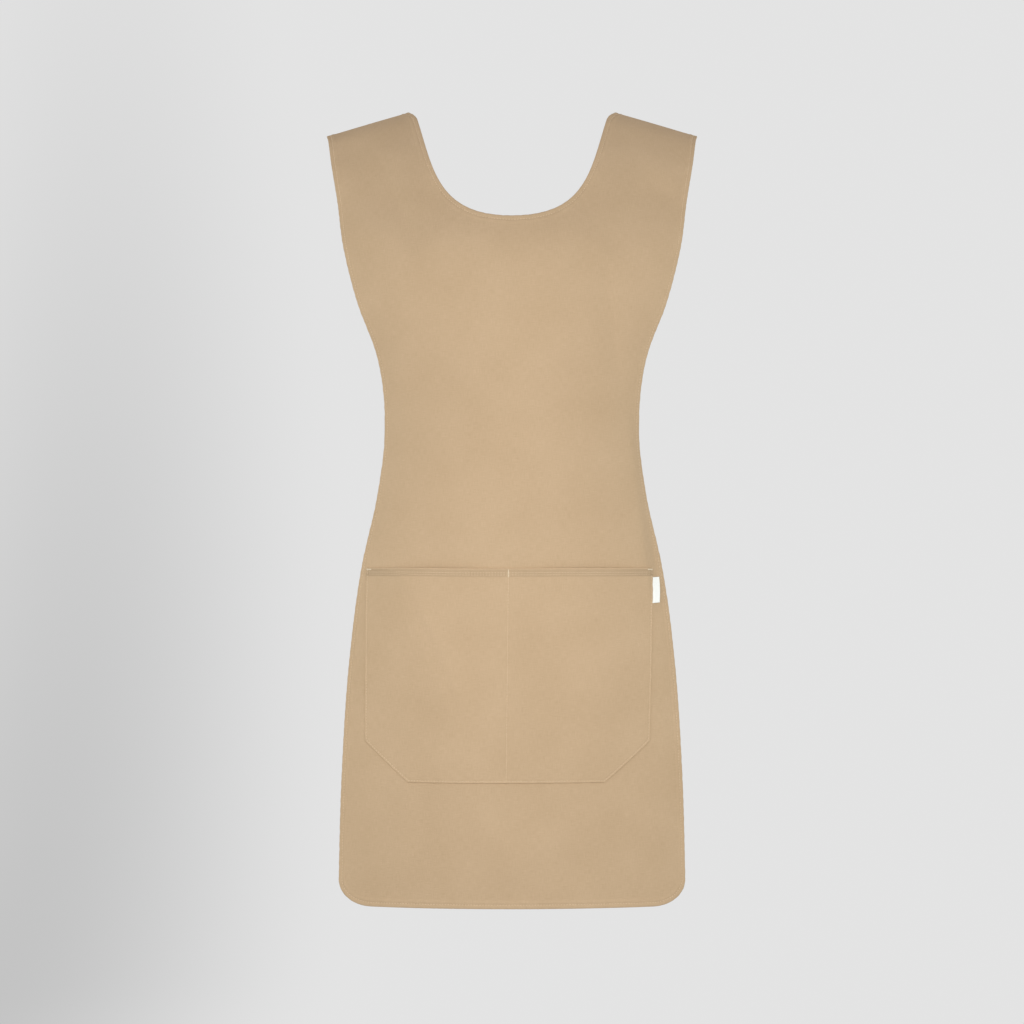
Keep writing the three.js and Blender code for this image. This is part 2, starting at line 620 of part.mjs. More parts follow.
function add(name, geometry, material) {
  const mesh = new THREE.Mesh(geometry, material);
  mesh.name = name;
  geometry.computeVertexNormals();
  apron.add(mesh);
}

const hems = { front: panelHems(front), back: panelHems(back) };
add("front_panel", panelWall(front), beigeCloth);
add("back_panel", panelWall(back), beigeCloth);
for (const [panel, pieces] of Object.entries(hems)) {
  for (const [piece, geometry] of Object.entries(pieces)) add(`${panel}_${piece}`, geometry, hemCloth);
}
for (const [name, side] of [["left", 1], ["right", -1]]) {
  add(`${name}_shoulder_seam`, shoulderSeam(side), hemCloth);
  add(`${name}_side_strap`, sideStrap(side), beigeCloth);
}
add("pocket", pocketGeometry(), beigeCloth);
add("side_label", labelGeometry(), whiteTape);

export default apron;
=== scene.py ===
"""A cobbler apron in beige work cloth, dressed around its CAD frame.

The cloth is one curved sheet, given by the same sections as the CAD part, in millimetres. A place on it is
"across", from -1 at the right edge to 1 at the left edge, and "along", the distance down the cloth from the
shoulder's ridge, positive down the front and negative down the back. Each piece of cloth is cut flat, as a
pattern in millimetres, and then laid on the sheet.
"""

import math

import bpy
import numpy as np
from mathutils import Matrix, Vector, kdtree
from mathutils.geometry import delaunay_2d_cdt


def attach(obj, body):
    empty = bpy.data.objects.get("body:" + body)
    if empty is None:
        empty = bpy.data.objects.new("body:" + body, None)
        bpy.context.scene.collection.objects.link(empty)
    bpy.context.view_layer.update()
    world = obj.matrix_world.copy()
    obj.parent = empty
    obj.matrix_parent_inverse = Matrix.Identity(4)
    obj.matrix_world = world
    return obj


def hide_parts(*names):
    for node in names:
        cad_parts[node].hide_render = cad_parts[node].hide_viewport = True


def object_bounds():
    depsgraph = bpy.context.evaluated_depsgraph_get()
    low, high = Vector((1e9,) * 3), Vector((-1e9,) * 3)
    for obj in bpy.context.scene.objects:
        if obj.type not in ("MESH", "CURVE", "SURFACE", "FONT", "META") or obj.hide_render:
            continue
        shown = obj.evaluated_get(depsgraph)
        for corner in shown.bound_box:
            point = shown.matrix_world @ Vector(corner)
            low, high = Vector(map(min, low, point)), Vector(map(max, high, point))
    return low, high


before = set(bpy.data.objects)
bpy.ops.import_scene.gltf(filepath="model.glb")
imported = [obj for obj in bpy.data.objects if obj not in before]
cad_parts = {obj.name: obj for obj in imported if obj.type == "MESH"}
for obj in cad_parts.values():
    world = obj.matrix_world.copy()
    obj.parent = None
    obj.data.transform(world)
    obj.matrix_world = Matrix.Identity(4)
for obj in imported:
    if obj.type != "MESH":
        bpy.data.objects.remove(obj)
cad_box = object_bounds()

MM = 0.001

# Sizes of the apron, as in the CAD part. The rounding of the neck's corners, the pocket's widths and shift
# and the label's width and length differ from it a little, as they were measured again in the photo.
APRON_LENGTH = 832
WAIST_FALL = 337
SHOULDER_SPAN = 391
WAIST_WIDTH = 265
HEM_WIDTH = 362
FRONT_DEPTH = 134
BACK_DEPTH = 98
SHOULDER_SLOPE = 17.5
SLOPE_EASE = 60
CLOTH = 1.2
HEM_WALL = 1
PIECE_GAP = 0.3
HEM_TURN = 8
SEAM_FORWARD = 6
SEAM_ALLOWANCE = 8
HEM_CORNER_ACROSS = 40
HEM_CORNER_UP = 27
NECK_WIDTH = 206
NECK_ROUND_ACROSS = 15
NECK_ROUND_DOWN = 12
FRONT_NECK_DROP = 118
BACK_NECK_DROP = 107
POCKET_FALL = 481
POCKET_WIDTH = 319.8
POCKET_FOOT_WIDTH = 303.8
POCKET_HEIGHT = 221
POCKET_SHIFT = -3.6
POCKET_LEAN = -2.5
POCKET_HEM = 8
POCKET_CHAMFER_ACROSS = 49
POCKET_CHAMFER_UP = 42
LABEL_WIDTH = 8.2
LABEL_TUCK = 2  # caught in the pocket's seam
LABEL_LENGTH = 26.8
LABEL_DROP = 10
LABEL_LIFT = 2
STRAP_WIDTH = 32
STRAP_WALL = 1.5
STRAP_LAP = 26
FOLD_WIDTH = 40
FOLD_RISE = 5

# Sections of the sheet, from the ridge to the hem, in shares of the sizes above
SECTION_COLUMNS = ("bodice", "skirt", "shoulder", "hem", "out", "side", "turn", "tilt")
RIDGE = (0, 0, 1, 0, 0, 0, 20, 1)
FRONT_SECTIONS = [
    (0.018, 0, 0.969, 0, 0.17, 0.11, 24, 1),
    (0.107, 0, 0.905, 0, 0.45, 0.28, 30, 0.85),
    (0.267, 0, 0.786, 0, 0.755, 0.42, 38, 0.45),
    (0.445, 0, 0.666, 0, 0.985, 0.55, 48, 0.1),
    (0.608, 0, 0.45, 0, 1, 0.57, 54, 0),
    (0.777, 0, 0.123, 0, 0.925, 0.49, 58, 0),
    (1, 0, 0, 0, 0.85, 0.42, 60, 0),
    (1, 0.136, 0, 0.157, 0.843, 0.42, 62, 0),
    (1, 0.287, 0, 0.495, 0.88, 0.43, 62, 0),
    (1, 0.487, 0, 0.763, 0.903, 0.45, 58, 0),
    (1, 0.727, 0, 0.925, 0.88, 0.465, 54, 0),
    (1, 1, 0, 1, 0.843, 0.48, 50, 0),
]
BACK_SECTIONS = [
    (0.02, 0, 0.962, 0, 0.22, 0.15, 24, 1),
    (0.107, 0, 0.885, 0, 0.56, 0.38, 30, 0.85),
    (0.267, 0, 0.76, 0, 0.87, 0.52, 36, 0.45),
    (0.445, 0, 0.64, 0, 1, 0.6, 42, 0.1),
    (0.608, 0, 0.42, 0, 0.99, 0.58, 48, 0),
    (0.777, 0, 0.1, 0, 0.9, 0.5, 54, 0),
    (1, 0, -0.03, 0, 0.84, 0.44, 58, 0),
    (1, 0.136, 0, 0.12, 0.9, 0.46, 60, 0),
    (1, 0.287, 0, 0.45, 1.02, 0.5, 60, 0),
    (1, 0.487, 0, 0.72, 1.07, 0.54, 58, 0),
    (1, 0.727, 0, 0.88, 1.03, 0.55, 54, 0),
    (1, 1, 0, 0.95, 0.98, 0.56, 50, 0),
]

FOLD_FADING = 4  # how many times shorter than a fold its fading ends are

# Folds of the front: across and down at each end, in shares of half SHOULDER_SPAN and of APRON_LENGTH, then
# width and rise in shares of FOLD_WIDTH and FOLD_RISE. A tuck turns back all that lies beyond it.
FOLD_COLUMNS = ("across0", "across1", "down0", "down1", "width", "rise", "tuck")
FRONT_FOLDS = [
    (-0.9, -0.5, 0.04, 0.17, 0.55, -0.7, False),
    (0.82, 0.5, 0.1, 0.18, 0.6, -0.5, False),
    (0.47, 0.55, 0.19, 0.34, 0.3, -0.25, False),
    (-0.6, -0.22, 0.57, 0.78, 0.6, 0.45, False),
    (0.05, 0.3, 0.66, 0.8, 0.7, -0.3, False),
    (-0.35, 0.05, 0.8, 0.96, 1.2, 0.5, False),
    (0.62, 0.73, 0.4, 0.62, 0.3, -2, True),
]
# Finer creases, only on the cloth of this scene
FRONT_CREASES = [
    (-0.45, 0.45, 0.125, 0.125, 0.8, -0.8, False),
    (-0.72, -0.48, 0.06, 0.19, 0.16, -0.16, False),
    (0.72, 0.52, 0.09, 0.2, 0.14, -0.14, False),
    (0.5, 0.6, 0.2, 0.4, 0.1, -0.1, False),
    (-0.62, -0.4, 0.575, 0.66, 0.14, 0.16, False),
    (-0.55, -0.28, 0.6, 0.76, 0.12, -0.12, False),
    (-0.08, 0.2, 0.7, 0.79, 0.16, 0.14, False),
    (0.3, 0.62, 0.62, 0.68, 0.2, -0.12, False),
    (-0.2, 0.1, 0.36, 0.42, 0.4, 0.1, False),
    (0.1, 0.35, 0.84, 0.97, 0.35, -0.2, False),
    (-0.55, -0.6, 0.82, 0.97, 0.3, 0.24, False),
]
BACK_CREASES = [
    (-0.6, -0.1, 0.3, 0.36, 0.5, -0.3, False),
    (0.62, 0.1, 0.34, 0.38, 0.45, -0.3, False),
    (-0.3, -0.15, 0.6, 0.97, 0.9, 0.5, False),
    (0.35, 0.28, 0.62, 0.97, 0.8, 0.45, False),
    (0.05, 0.0, 0.45, 0.7, 0.5, -0.25, False),
]


def smooth(x):
    """A soft step from 0 at 0 to 1 at 1."""
    x = np.clip(x, 0, 1)
    return x * x * (3 - 2 * x)


def ridge(distance, height, width):
    """A soft ridge, highest where the distance is 0."""
    return height * np.exp(-((distance / width) ** 2))


def padding(distance, height, end, fade):
    """A raised band from an edge to a distance from it, with a soft end."""
    return height * (1 - smooth((distance - end) / fade))


def rounding(distance, radius):
    """How far a face drops near a rounded edge: the radius at the edge itself, nothing past it."""
    return radius - np.sqrt(np.maximum(0, radius**2 - np.maximum(0, radius - distance) ** 2))


# The sheet


class Sheet:
    """The curved sheet that all the cloth follows."""

    SIZES = ("fall", "width", "out", "side", "turn", "tilt")
    DENSE = 1401  # heights at which the cloth's widths are measured
    SIDEWAYS = 81
    ALONG_STEPS = 3000

    def __init__(self):
        back = [self._section(row, BACK_DEPTH) for row in BACK_SECTIONS][::-1]
        front = [self._section(row, -FRONT_DEPTH) for row in FRONT_SECTIONS]
        rows = np.array([*back, self._section(RIDGE, 0), *front])
        fall, out = rows[:, 0], rows[:, 2]
        along = np.concatenate([[0], np.cumsum(np.hypot(np.diff(fall), np.diff(out)))])
        self.along = along - along[len(back)]
        self.rows = rows
        steps = np.diff(self.along)[:, None]
        slopes = np.diff(rows, axis=0) / steps
        inner = (slopes[:-1] * steps[1:] + slopes[1:] * steps[:-1]) / (steps[:-1] + steps[1:])
        self.rates = np.vstack([slopes[:1], inner, slopes[-1:]])
        self.front_end, self.back_end = self.along[-1], self.along[0]
        self.slope = math.tan(math.radians(SHOULDER_SLOPE))
        strap_middle = (NECK_WIDTH + SHOULDER_SPAN) / 4
        self.lift = self.slope * self.sloped(strap_middle) + CLOTH + PIECE_GAP + HEM_WALL
        self._measure()

    @staticmethod
    def _section(row, depth):
        share = dict(zip(SECTION_COLUMNS, row))
        wide = share["shoulder"] * (SHOULDER_SPAN - WAIST_WIDTH) + share["hem"] * (HEM_WIDTH - WAIST_WIDTH)
        return (
            share["bodice"] * WAIST_FALL + share["skirt"] * (APRON_LENGTH - WAIST_FALL),
            (WAIST_WIDTH + wide) / 2,
            share["out"] * depth,
            share["side"] * depth,
            math.radians(share["turn"]),
            share["tilt"] * math.tan(math.radians(SHOULDER_SLOPE)),
        )

    @staticmethod
    def sloped(x):
        return np.hypot(x, SLOPE_EASE) - math.hypot(NECK_WIDTH / 2, SLOPE_EASE)

    def section(self, along):
        k = np.clip(np.searchsorted(self.along, along) - 1, 0, len(self.along) - 2)
        span = self.along[k + 1] - self.along[k]
        f = ((along - self.along[k]) / span)[:, None]
        span = span[:, None]
        values = (
            self.rows[k] * (1 + 2 * f) * (1 - f) ** 2
            + self.rows[k + 1] * f * f * (3 - 2 * f)
            + self.rates[k] * span * f * (1 - f) ** 2
            - self.rates[k + 1] * span * f * f * (1 - f)
        )
        return dict(zip(self.SIZES, values.T))

    def point(self, across, along, folded=True):
        section = self.section(along)
        angle = np.abs(across) * section["turn"]
        x = np.sign(across) * section["width"] * np.sin(angle) / np.sin(section["turn"])
        bend = (1 - np.cos(angle)) / (1 - np.cos(section["turn"]))
        fall = section["fall"] + section["tilt"] * self.sloped(x)
        y = section["out"] * (1 - bend) + section["side"] * bend
        if folded:
            y = np.where(along > 0, y - fold_rise(FRONT_FOLDS + FRONT_CREASES, x, fall), y)
            y = np.where(along < 0, y + fold_rise(BACK_CREASES, x, fall), y)
            y = y + np.sign(along) * -drape(x, fall, along)
        return np.stack([x, y, self.lift - fall], axis=-1)

    def _measure(self):
        """How wide the cloth is at each height, and "across" at each share of that width."""
        self.dense = np.linspace(self.back_end, self.front_end, self.DENSE)
        across = np.linspace(0, 1, self.SIDEWAYS)
        over, down = np.meshgrid(across, self.dense)
        places = self.point(over.ravel(), down.ravel(), folded=False).reshape(*over.shape, 3)
        pieces = np.linalg.norm(np.diff(places, axis=1), axis=2)
        lengths = np.concatenate([np.zeros((self.DENSE, 1)), np.cumsum(pieces, axis=1)], axis=1)
        self.half_widths = lengths[:, -1]
        shares = np.linspace(0, 1, self.SIDEWAYS)
        self.inverse = np.array([np.interp(shares * row[-1], row, across) for row in lengths])

    def half_width(self, along):
        return np.interp(along, self.dense, self.half_widths)

    def across(self, sideways, along):
        """ "across" at a distance sideways over the cloth from its middle."""
        share = np.clip(np.abs(sideways) / self.half_width(along), 0, 1)
        row = np.clip((along - self.dense[0]) / (self.dense[1] - self.dense[0]), 0, self.DENSE - 1.001)
        column = np.clip(share * (self.SIDEWAYS - 1), 0, self.SIDEWAYS - 1.001)
        r, c = row.astype(int), column.astype(int)
        fr, fc = row - r, column - c
        table = self.inverse
        upper = table[r, c] * (1 - fc) + table[r, c + 1] * fc
        lower = table[r + 1, c] * (1 - fc) + table[r + 1, c + 1] * fc
        return np.sign(sideways) * (upper * (1 - fr) + lower * fr)

    def place(self, sideways, along):
        """Points on the sheet's outer face and the way that it faces there."""
        across = self.across(sideways, along)
        step, nudge = 0.5, 1e-3
        down = self.point(across, along + step) - self.point(across, along - step)
        over = self.point(across + nudge, along) - self.point(across - nudge, along)
        normal = np.cross(down, over)
        normal /= np.linalg.norm(normal, axis=1)[:, None]
        return self.point(across, along), normal

    def along_at_fall(self, fall, face):
        reach = np.linspace(0, self.front_end if face > 0 else self.back_end, self.ALONG_STEPS)
        return float(np.interp(fall, self.section(reach)["fall"], reach))


def fold_rise(folds, x, fall):
    """How far folds push the cloth out at a place in the front view."""
    rise = np.zeros_like(x)
    for row in folds:
        fold = dict(zip(FOLD_COLUMNS, row))
        x0, x1 = (fold[end] * SHOULDER_SPAN / 2 for end in ("across0", "across1"))
        z0, z1 = (fold[end] * APRON_LENGTH for end in ("down0", "down1"))
        length = math.hypot(x1 - x0, z1 - z0)
        ux, uz = (x1 - x0) / length, (z1 - z0) / length
        past = ((x - x0) * ux + (fall - z0) * uz) / length
        beside = ((x - x0) * uz - (fall - z0) * ux) / (fold["width"] * FOLD_WIDTH)
        fade = smooth(past * FOLD_FADING + 0.5) * smooth((1 - past) * FOLD_FADING + 0.5)
        shape = smooth(beside) if fold["tuck"] else ridge(beside, 1, 1)
        rise += fold["rise"] * FOLD_RISE * fade * shape
    return rise


DRAPE_RISE = 0.45
DRAPE_WAVES = [(0.021, 0.009, 0.4), (-0.013, 0.024, 2.1), (0.034, -0.017, 4.0), (0.047, 0.031, 1.3)]
DRAPE_SWAY = 2
DRAPE_SWAY_WAVE = 0.011
DRAPE_START = 60  # how far from the ridge it has its full depth


def drape(x, fall, along):
    """The slight unevenness that used cloth has all over: a few long waves, crossing."""
    uneven = np.zeros_like(x)
    for wave_x, wave_z, start in DRAPE_WAVES:
        sway = DRAPE_SWAY * np.sin(fall * DRAPE_SWAY_WAVE + start)
        uneven += np.sin(x * wave_x + fall * wave_z + start + sway)
    return DRAPE_RISE * uneven * smooth(np.abs(along) / DRAPE_START)


sheet = Sheet()


# Flat patterns


def offset_line(line, distance):
    """An open line of points moved sideways, to the left of its direction, with mitred corners."""
    steps = np.diff(line, axis=0)
    steps /= np.linalg.norm(steps, axis=1)[:, None]
    sides = np.stack([-steps[:, 1], steps[:, 0]], axis=1)
    before = np.vstack([sides[:1], sides])
    after = np.vstack([sides, sides[-1:]])
    mitre = (before + after) / (1 + (before * after).sum(axis=1))[:, None]
    return line + distance * mitre


def resampled(line, spacing):
    """The same line with its points about a spacing apart."""
    lengths = np.concatenate([[0], np.cumsum(np.linalg.norm(np.diff(line, axis=0), axis=1))])
    count = max(2, round(lengths[-1] / spacing) + 1)
    at = np.linspace(0, lengths[-1], count)
    return np.stack([np.interp(at, lengths, line[:, k]) for k in range(2)], axis=1)


def polyline(corners, spacing):
    """A line through corners, with points about a spacing apart that keep the corners."""
    parts = [resampled(np.array([a, b], float), spacing)[:-1] for a, b in zip(corners, corners[1:])]
    return np.vstack([*parts, np.array(corners[-1:], float)])


def inside(points, outline):
    """Which points lie inside a closed outline."""
    x, y = points.T
    held = np.zeros(len(points), bool)
    for (x0, y0), (x1, y1) in zip(outline, np.roll(outline, -1, axis=0)):
        if y0 == y1:
            continue
        crosses = (y0 > y) != (y1 > y)
        held ^= crosses & (x < (x1 - x0) * (y - y0) / (y1 - y0) + x0)
    return held


def tree_of(lines, spacing=0.7):
    """A search tree of points along lines."""
    points = np.vstack([resampled(line, spacing) for line in lines])
    tree = kdtree.KDTree(len(points))
    for k, (x, y) in enumerate(points):
        tree.insert((x, y, 0), k)
    tree.balance()
    return tree


def distances(tree, points):
    """How far points are from a tree's lines."""
    return np.array([tree.find((x, y, 0))[2] for x, y in points])


FILL_ROW = 0.87  # height of a row of the fill, in spacings
FILL_CLEARANCE = 0.55  # from the fill to the lines, in spacings
SAME_POINT = 1e-4


def triangulated(outline, lines, spacing):
    """Points and triangles of a flat pattern: its outline, the lines its relief follows, and an even fill."""
    chains = [np.vstack([outline, outline[:1]]), *lines]
    tree = tree_of(chains, spacing / 4)
    low, high = outline.min(axis=0), outline.max(axis=0)
    rows = np.arange(low[1], high[1], spacing * FILL_ROW)
    fill = []
    for k, y in enumerate(rows):
        xs = np.arange(low[0] + (k % 2) * spacing / 2, high[0], spacing)
        fill.append(np.stack([xs, np.full_like(xs, y)], axis=1))
    fill = np.vstack(fill)
    fill = fill[inside(fill, outline)]
    fill = fill[distances(tree, fill) > spacing * FILL_CLEARANCE]
    points = [*outline]
    edges = [(k, (k + 1) % len(outline)) for k in range(len(outline))]
    for line in lines:
        start = len(points)
        points.extend(line)
        edges.extend((start + k, start + k + 1) for k in range(len(line) - 1))
    points.extend(fill)
    result = delaunay_2d_cdt([Vector(p) for p in points], edges, [], 1, SAME_POINT)
    flat = np.array([tuple(v) for v in result[0]])
    return flat, np.array([f for f in result[2] if len(f) == 3])


def open_edges(triangles):
    """The edges that only one triangle has, in its direction."""
    edges = {}
    for a, b, c in triangles:
        for edge in ((a, b), (b, c), (c, a)):
            edges[edge] = True
    return [(a, b) for a, b in edges if (b, a) not in edges]


def add_object(name, vertices, faces, material, flat=None, tone=None):
    """An object from millimetres. flat becomes the UV map "pattern" and tone the attribute of that name."""
    mesh = bpy.data.meshes.new(name)
    mesh.from_pydata(np.asarray(vertices) * MM, [], [list(map(int, face)) for face in faces])
    mesh.validate()
    if flat is not None:
        layer = mesh.uv_layers.new(name="pattern")
        corners = np.empty(len(mesh.loops), int)
        mesh.loops.foreach_get("vertex_index", corners)
        layer.data.foreach_set("uv", (np.asarray(flat)[corners] * MM).ravel())
    if tone is not None:
        mesh.attributes.new("tone", "FLOAT", "POINT").data.foreach_set("value", tone)
    mesh.shade_smooth()
    mesh.materials.append(material)
    made = bpy.data.objects.new(name, mesh)
    bpy.context.scene.collection.objects.link(made)
    return made


def cloth_piece(name, outline, lines, spacing, place, outer, inner, tone):
    """A closed piece of cloth from its flat pattern.

    place puts flat points on the sheet, outer and inner say how far out from it each face of the cloth lies,
    and tone how much lighter (above 0, painted highlight) or darker (below 0, painted shade) the outer face
    is painted.
    """
    flat, triangles = triangulated(outline, lines, spacing)
    points, normals = place(flat)
    a, b, c = (points[triangles[:, k]] for k in range(3))
    turned = (np.cross(b - a, c - a) * normals[triangles[:, 0]]).sum(axis=1) < 0
    triangles[turned] = triangles[turned][:, ::-1]
    count = len(flat)
    vertices = np.vstack([points + normals * outer(flat)[:, None], points + normals * inner(flat)[:, None]])
    faces = [*triangles, *(triangles[:, ::-1] + count)]
    faces += [(b, a, a + count, b + count) for a, b in open_edges(triangles)]
    tones = np.concatenate([tone(flat), np.zeros(count)])
    return add_object(name, vertices, faces, beige, flat=np.vstack([flat, flat]), tone=tones)


# Stitches

STITCH = {"pitch": 3.0, "length": 2.3, "thickness": 0.5, "crosswise": False}
STITCH_RINGS = [(-0.5, 0.35), (-0.36, 0.95), (0, 1.1), (0.36, 0.95), (0.5, 0.35)]  # shares, length and radius
STITCH_SIDES = 6
STITCH_LIFT = 0.15  # of its middle over the cloth, and how far its ends dip, in thicknesses
STITCH_DIP = 1.1


def stitched(name, lines, place, height, material, kind=STITCH):
    """Separate stitches along or across lines of a flat pattern, each a short rounded bar with low ends."""
    vertices, faces = [], []
    length, thickness = kind["length"], kind["thickness"]
    for line in lines:
        middles = resampled(line, kind["pitch"])
        ways = np.gradient(middles, axis=0)
        ways /= np.linalg.norm(ways, axis=1)[:, None]
        middles, ways = middles[1:-1], ways[1:-1]
        if kind["crosswise"]:
            ways = ways[:, ::-1] * (-1, 1)
        ends = [place(middles + ways * share * length)[0] for share in (-0.5, 0.5)]
        centres, normals = place(middles)
        along = ends[1] - ends[0]
        along /= np.linalg.norm(along, axis=1)[:, None]
        side = np.cross(along, normals)
        rise = height(middles)[:, None]
        rings = []
        for share, size in STITCH_RINGS:
            lift = thickness * (STITCH_LIFT - STITCH_DIP * (2 * share) ** 4)
            ring_centre = centres + along * share * length + normals * (rise + lift)
            for k in range(STITCH_SIDES):
                turn = 2 * math.pi * k / STITCH_SIDES
                spoke = side * math.cos(turn) + normals * math.sin(turn)
                rings.append(ring_centre + spoke * size * thickness / 2)
        block = np.stack(rings, axis=1)
        ring_count = len(STITCH_RINGS)
        for k in range(len(block)):
            start = len(vertices) + k * block.shape[1]
            for ring in range(ring_count - 1):
                for n in range(STITCH_SIDES):
                    a = start + ring * STITCH_SIDES + n
                    b = start + ring * STITCH_SIDES + (n + 1) % STITCH_SIDES
                    faces.append((a, a + STITCH_SIDES, b + STITCH_SIDES, b))
            faces.append(tuple(start + n for n in range(STITCH_SIDES)))
            last = start + (ring_count - 1) * STITCH_SIDES
            faces.append(tuple(last + n for n in reversed(range(STITCH_SIDES))))
        vertices.extend(block.reshape(-1, 3))
    return add_object(name, vertices, faces, material)


# Materials


def new_material(name):
    made = bpy.data.materials.new(name)
    made.use_nodes = True
    nodes, links = made.node_tree.nodes, made.node_tree.links
    return made, nodes, links, nodes["Principled BSDF"]


def new_node(nodes, kind, inputs=(), **settings):
    """A shader node with its settings and then the values of its inputs."""
    node = nodes.new(f"ShaderNode{kind}")
    for setting, value in settings.items():
        setattr(node, setting, value)
    for socket, value in dict(inputs).items():
        node.inputs[socket].default_value = value
    return node


def linear(red, green, blue):
    """A colour given as 0 to 255 screen values."""

    def channel(value):
        share = value / 255
        return share / 12.92 if share <= 0.04045 else ((share + 0.055) / 1.055) ** 2.4

    return (channel(red), channel(green), channel(blue), 1)


THREAD_PITCH = 0.62  # of the weave
SLUB_WAVES = (1.6, 0.12)  # of uneven yarn, across it and along it, for each millimetre
PATCH_WAVES = 0.018
SLUB_SHADE = 0.75  # how much the colour follows the yarn and the patches
PATCH_SHADE = 0.5
SHADE_START = -0.25
TONE_DEPTH = 0.2  # how much darker cloth of tone -1 is
ROUGHNESS = 0.78
SLUB_ROUGHNESS = 0.12
SPECULAR = 0.25
THREAD_WAVES = 900  # of shade, for each metre of sewing thread
THREAD_DARK = 0.75
THREAD_ROUGHNESS = 0.6
THREAD_SPECULAR = 0.4


def woven(name, colour, dark_colour, thread_depth=0.05, slub_depth=0.1):
    """Plain-woven cloth: crossing threads, uneven yarn, slight random changes of shade, and painted
    highlights and painted shade given by "tone".
    """
    made, nodes, links, shader = new_material(name)

    def maths(operation, *values):
        node = new_node(nodes, "Math", operation=operation)
        for socket, value in zip(node.inputs, values):
            if isinstance(value, (int, float)):
                socket.default_value = value
            else:
                links.new(value, socket)
        return node.outputs["Value"]

    def noise(scale, stretch):
        mapping = new_node(nodes, "Mapping", {"Scale": (*stretch, 1)})
        made_noise = new_node(nodes, "TexNoise", {"Scale": scale, "Detail": 1}, noise_dimensions="2D")
        links.new(millimetres.outputs["Vector"], mapping.inputs["Vector"])
        links.new(mapping.outputs["Vector"], made_noise.inputs["Vector"])
        return made_noise.outputs["Fac"]

    uv = new_node(nodes, "UVMap", uv_map="pattern")
    millimetres = new_node(nodes, "VectorMath", {"Scale": 1 / MM}, operation="SCALE")
    links.new(uv.outputs["UV"], millimetres.inputs[0])
    split = new_node(nodes, "SeparateXYZ")
    links.new(millimetres.outputs["Vector"], split.inputs["Vector"])
    turns = 2 * math.pi / THREAD_PITCH
    threads = [maths("SINE", maths("MULTIPLY", split.outputs[axis], turns)) for axis in ("X", "Y")]
    weave = maths("MULTIPLY", *threads)
    slub = maths("ADD", noise(1, SLUB_WAVES), noise(1, SLUB_WAVES[::-1]))
    patches = noise(PATCH_WAVES, (1, 1))

    yarn_shade = maths("MULTIPLY_ADD", slub, SLUB_SHADE, SHADE_START)
    patch_shade = maths("MULTIPLY_ADD", patches, PATCH_SHADE, SHADE_START)
    shade = maths("ADD", yarn_shade, patch_shade)
    mix = new_node(nodes, "Mix", {"A": dark_colour, "B": colour}, data_type="RGBA")
    links.new(shade, mix.inputs["Factor"])
    # tone: painted highlight (above 0) and painted shade (below 0) scaling the cloth's colour
    painted_tone = new_node(nodes, "Attribute", attribute_name="tone")
    tinted = new_node(nodes, "VectorMath", operation="SCALE")
    links.new(mix.outputs["Result"], tinted.inputs[0])
    links.new(maths("MULTIPLY_ADD", painted_tone.outputs["Fac"], TONE_DEPTH, 1.0), tinted.inputs["Scale"])
    links.new(tinted.outputs["Vector"], shader.inputs["Base Color"])

    bump = new_node(nodes, "Bump", {"Strength": 1, "Distance": MM})
    height = maths("MULTIPLY_ADD", weave, thread_depth / 2, maths("MULTIPLY", slub, slub_depth))
    links.new(height, bump.inputs["Height"])
    links.new(bump.outputs["Normal"], shader.inputs["Normal"])
    links.new(maths("MULTIPLY_ADD", slub, SLUB_ROUGHNESS, ROUGHNESS), shader.inputs["Roughness"])
    shader.inputs["Specular IOR Level"].default_value = SPECULAR
    return made


def thread_material(name, colour):
    """Twisted sewing thread, smoother than the cloth."""
    made, nodes, links, shader = new_material(name)
    shader.inputs["Roughness"].default_value = THREAD_ROUGHNESS
    shader.inputs["Specular IOR Level"].default_value = THREAD_SPECULAR
    place = new_node(nodes, "TexCoord")
    noise = new_node(nodes, "TexNoise", {"Scale": THREAD_WAVES})
    links.new(place.outputs["Object"], noise.inputs["Vector"])
    dark_colour = (*(THREAD_DARK * part for part in colour[:3]), 1)
    mix = new_node(nodes, "Mix", {"A": dark_colour, "B": colour}, data_type="RGBA")
    links.new(noise.outputs["Fac"], mix.inputs["Factor"])
    links.new(mix.outputs["Result"], shader.inputs["Base Color"])
    return made


def backdrop_material():
    """An evenly glowing pale surface, dimmer in front of the apron and in one tall painted shade far down on
    the left.
    """
    made, nodes, links, shader = new_material("backdrop")
    nodes.remove(shader)
    place = new_node(nodes, "TexCoord")
    spread = new_node(nodes, "VectorMath", {1: BACKDROP_SHADE_SPREAD}, operation="MULTIPLY")
    links.new(place.outputs["Object"], spread.inputs[0])
    away = new_node(nodes, "VectorMath", {1: BACKDROP_SHADE_PLACE}, operation="DISTANCE")
    links.new(spread.outputs["Vector"], away.inputs[0])
    levels = {"From Max": BACKDROP_SHADE_REACH, "To Min": BACKDROP_DARK, "To Max": BACKDROP_LEVEL}
    level = new_node(nodes, "MapRange", levels, interpolation_type="SMOOTHSTEP")
    links.new(away.outputs["Value"], level.inputs["Value"])
    split = new_node(nodes, "SeparateXYZ")
    links.new(place.outputs["Object"], split.inputs["Vector"])
    shares = {"From Min": BACKDROP_FRONT, "From Max": BACKDROP_BACK, "To Min": BACKDROP_FRONT_SHARE}
    behind = new_node(nodes, "MapRange", shares, interpolation_type="SMOOTHSTEP")
    links.new(split.outputs["Y"], behind.inputs["Value"])
    both = new_node(nodes, "Math", operation="MULTIPLY")
    links.new(level.outputs["Result"], both.inputs[0])
    links.new(behind.outputs["Result"], both.inputs[1])
    glow = new_node(nodes, "Emission")
    links.new(both.outputs["Value"], glow.inputs["Strength"])
    links.new(glow.outputs["Emission"], nodes["Material Output"].inputs["Surface"])
    made.cycles.emission_sampling = "NONE"
    return made


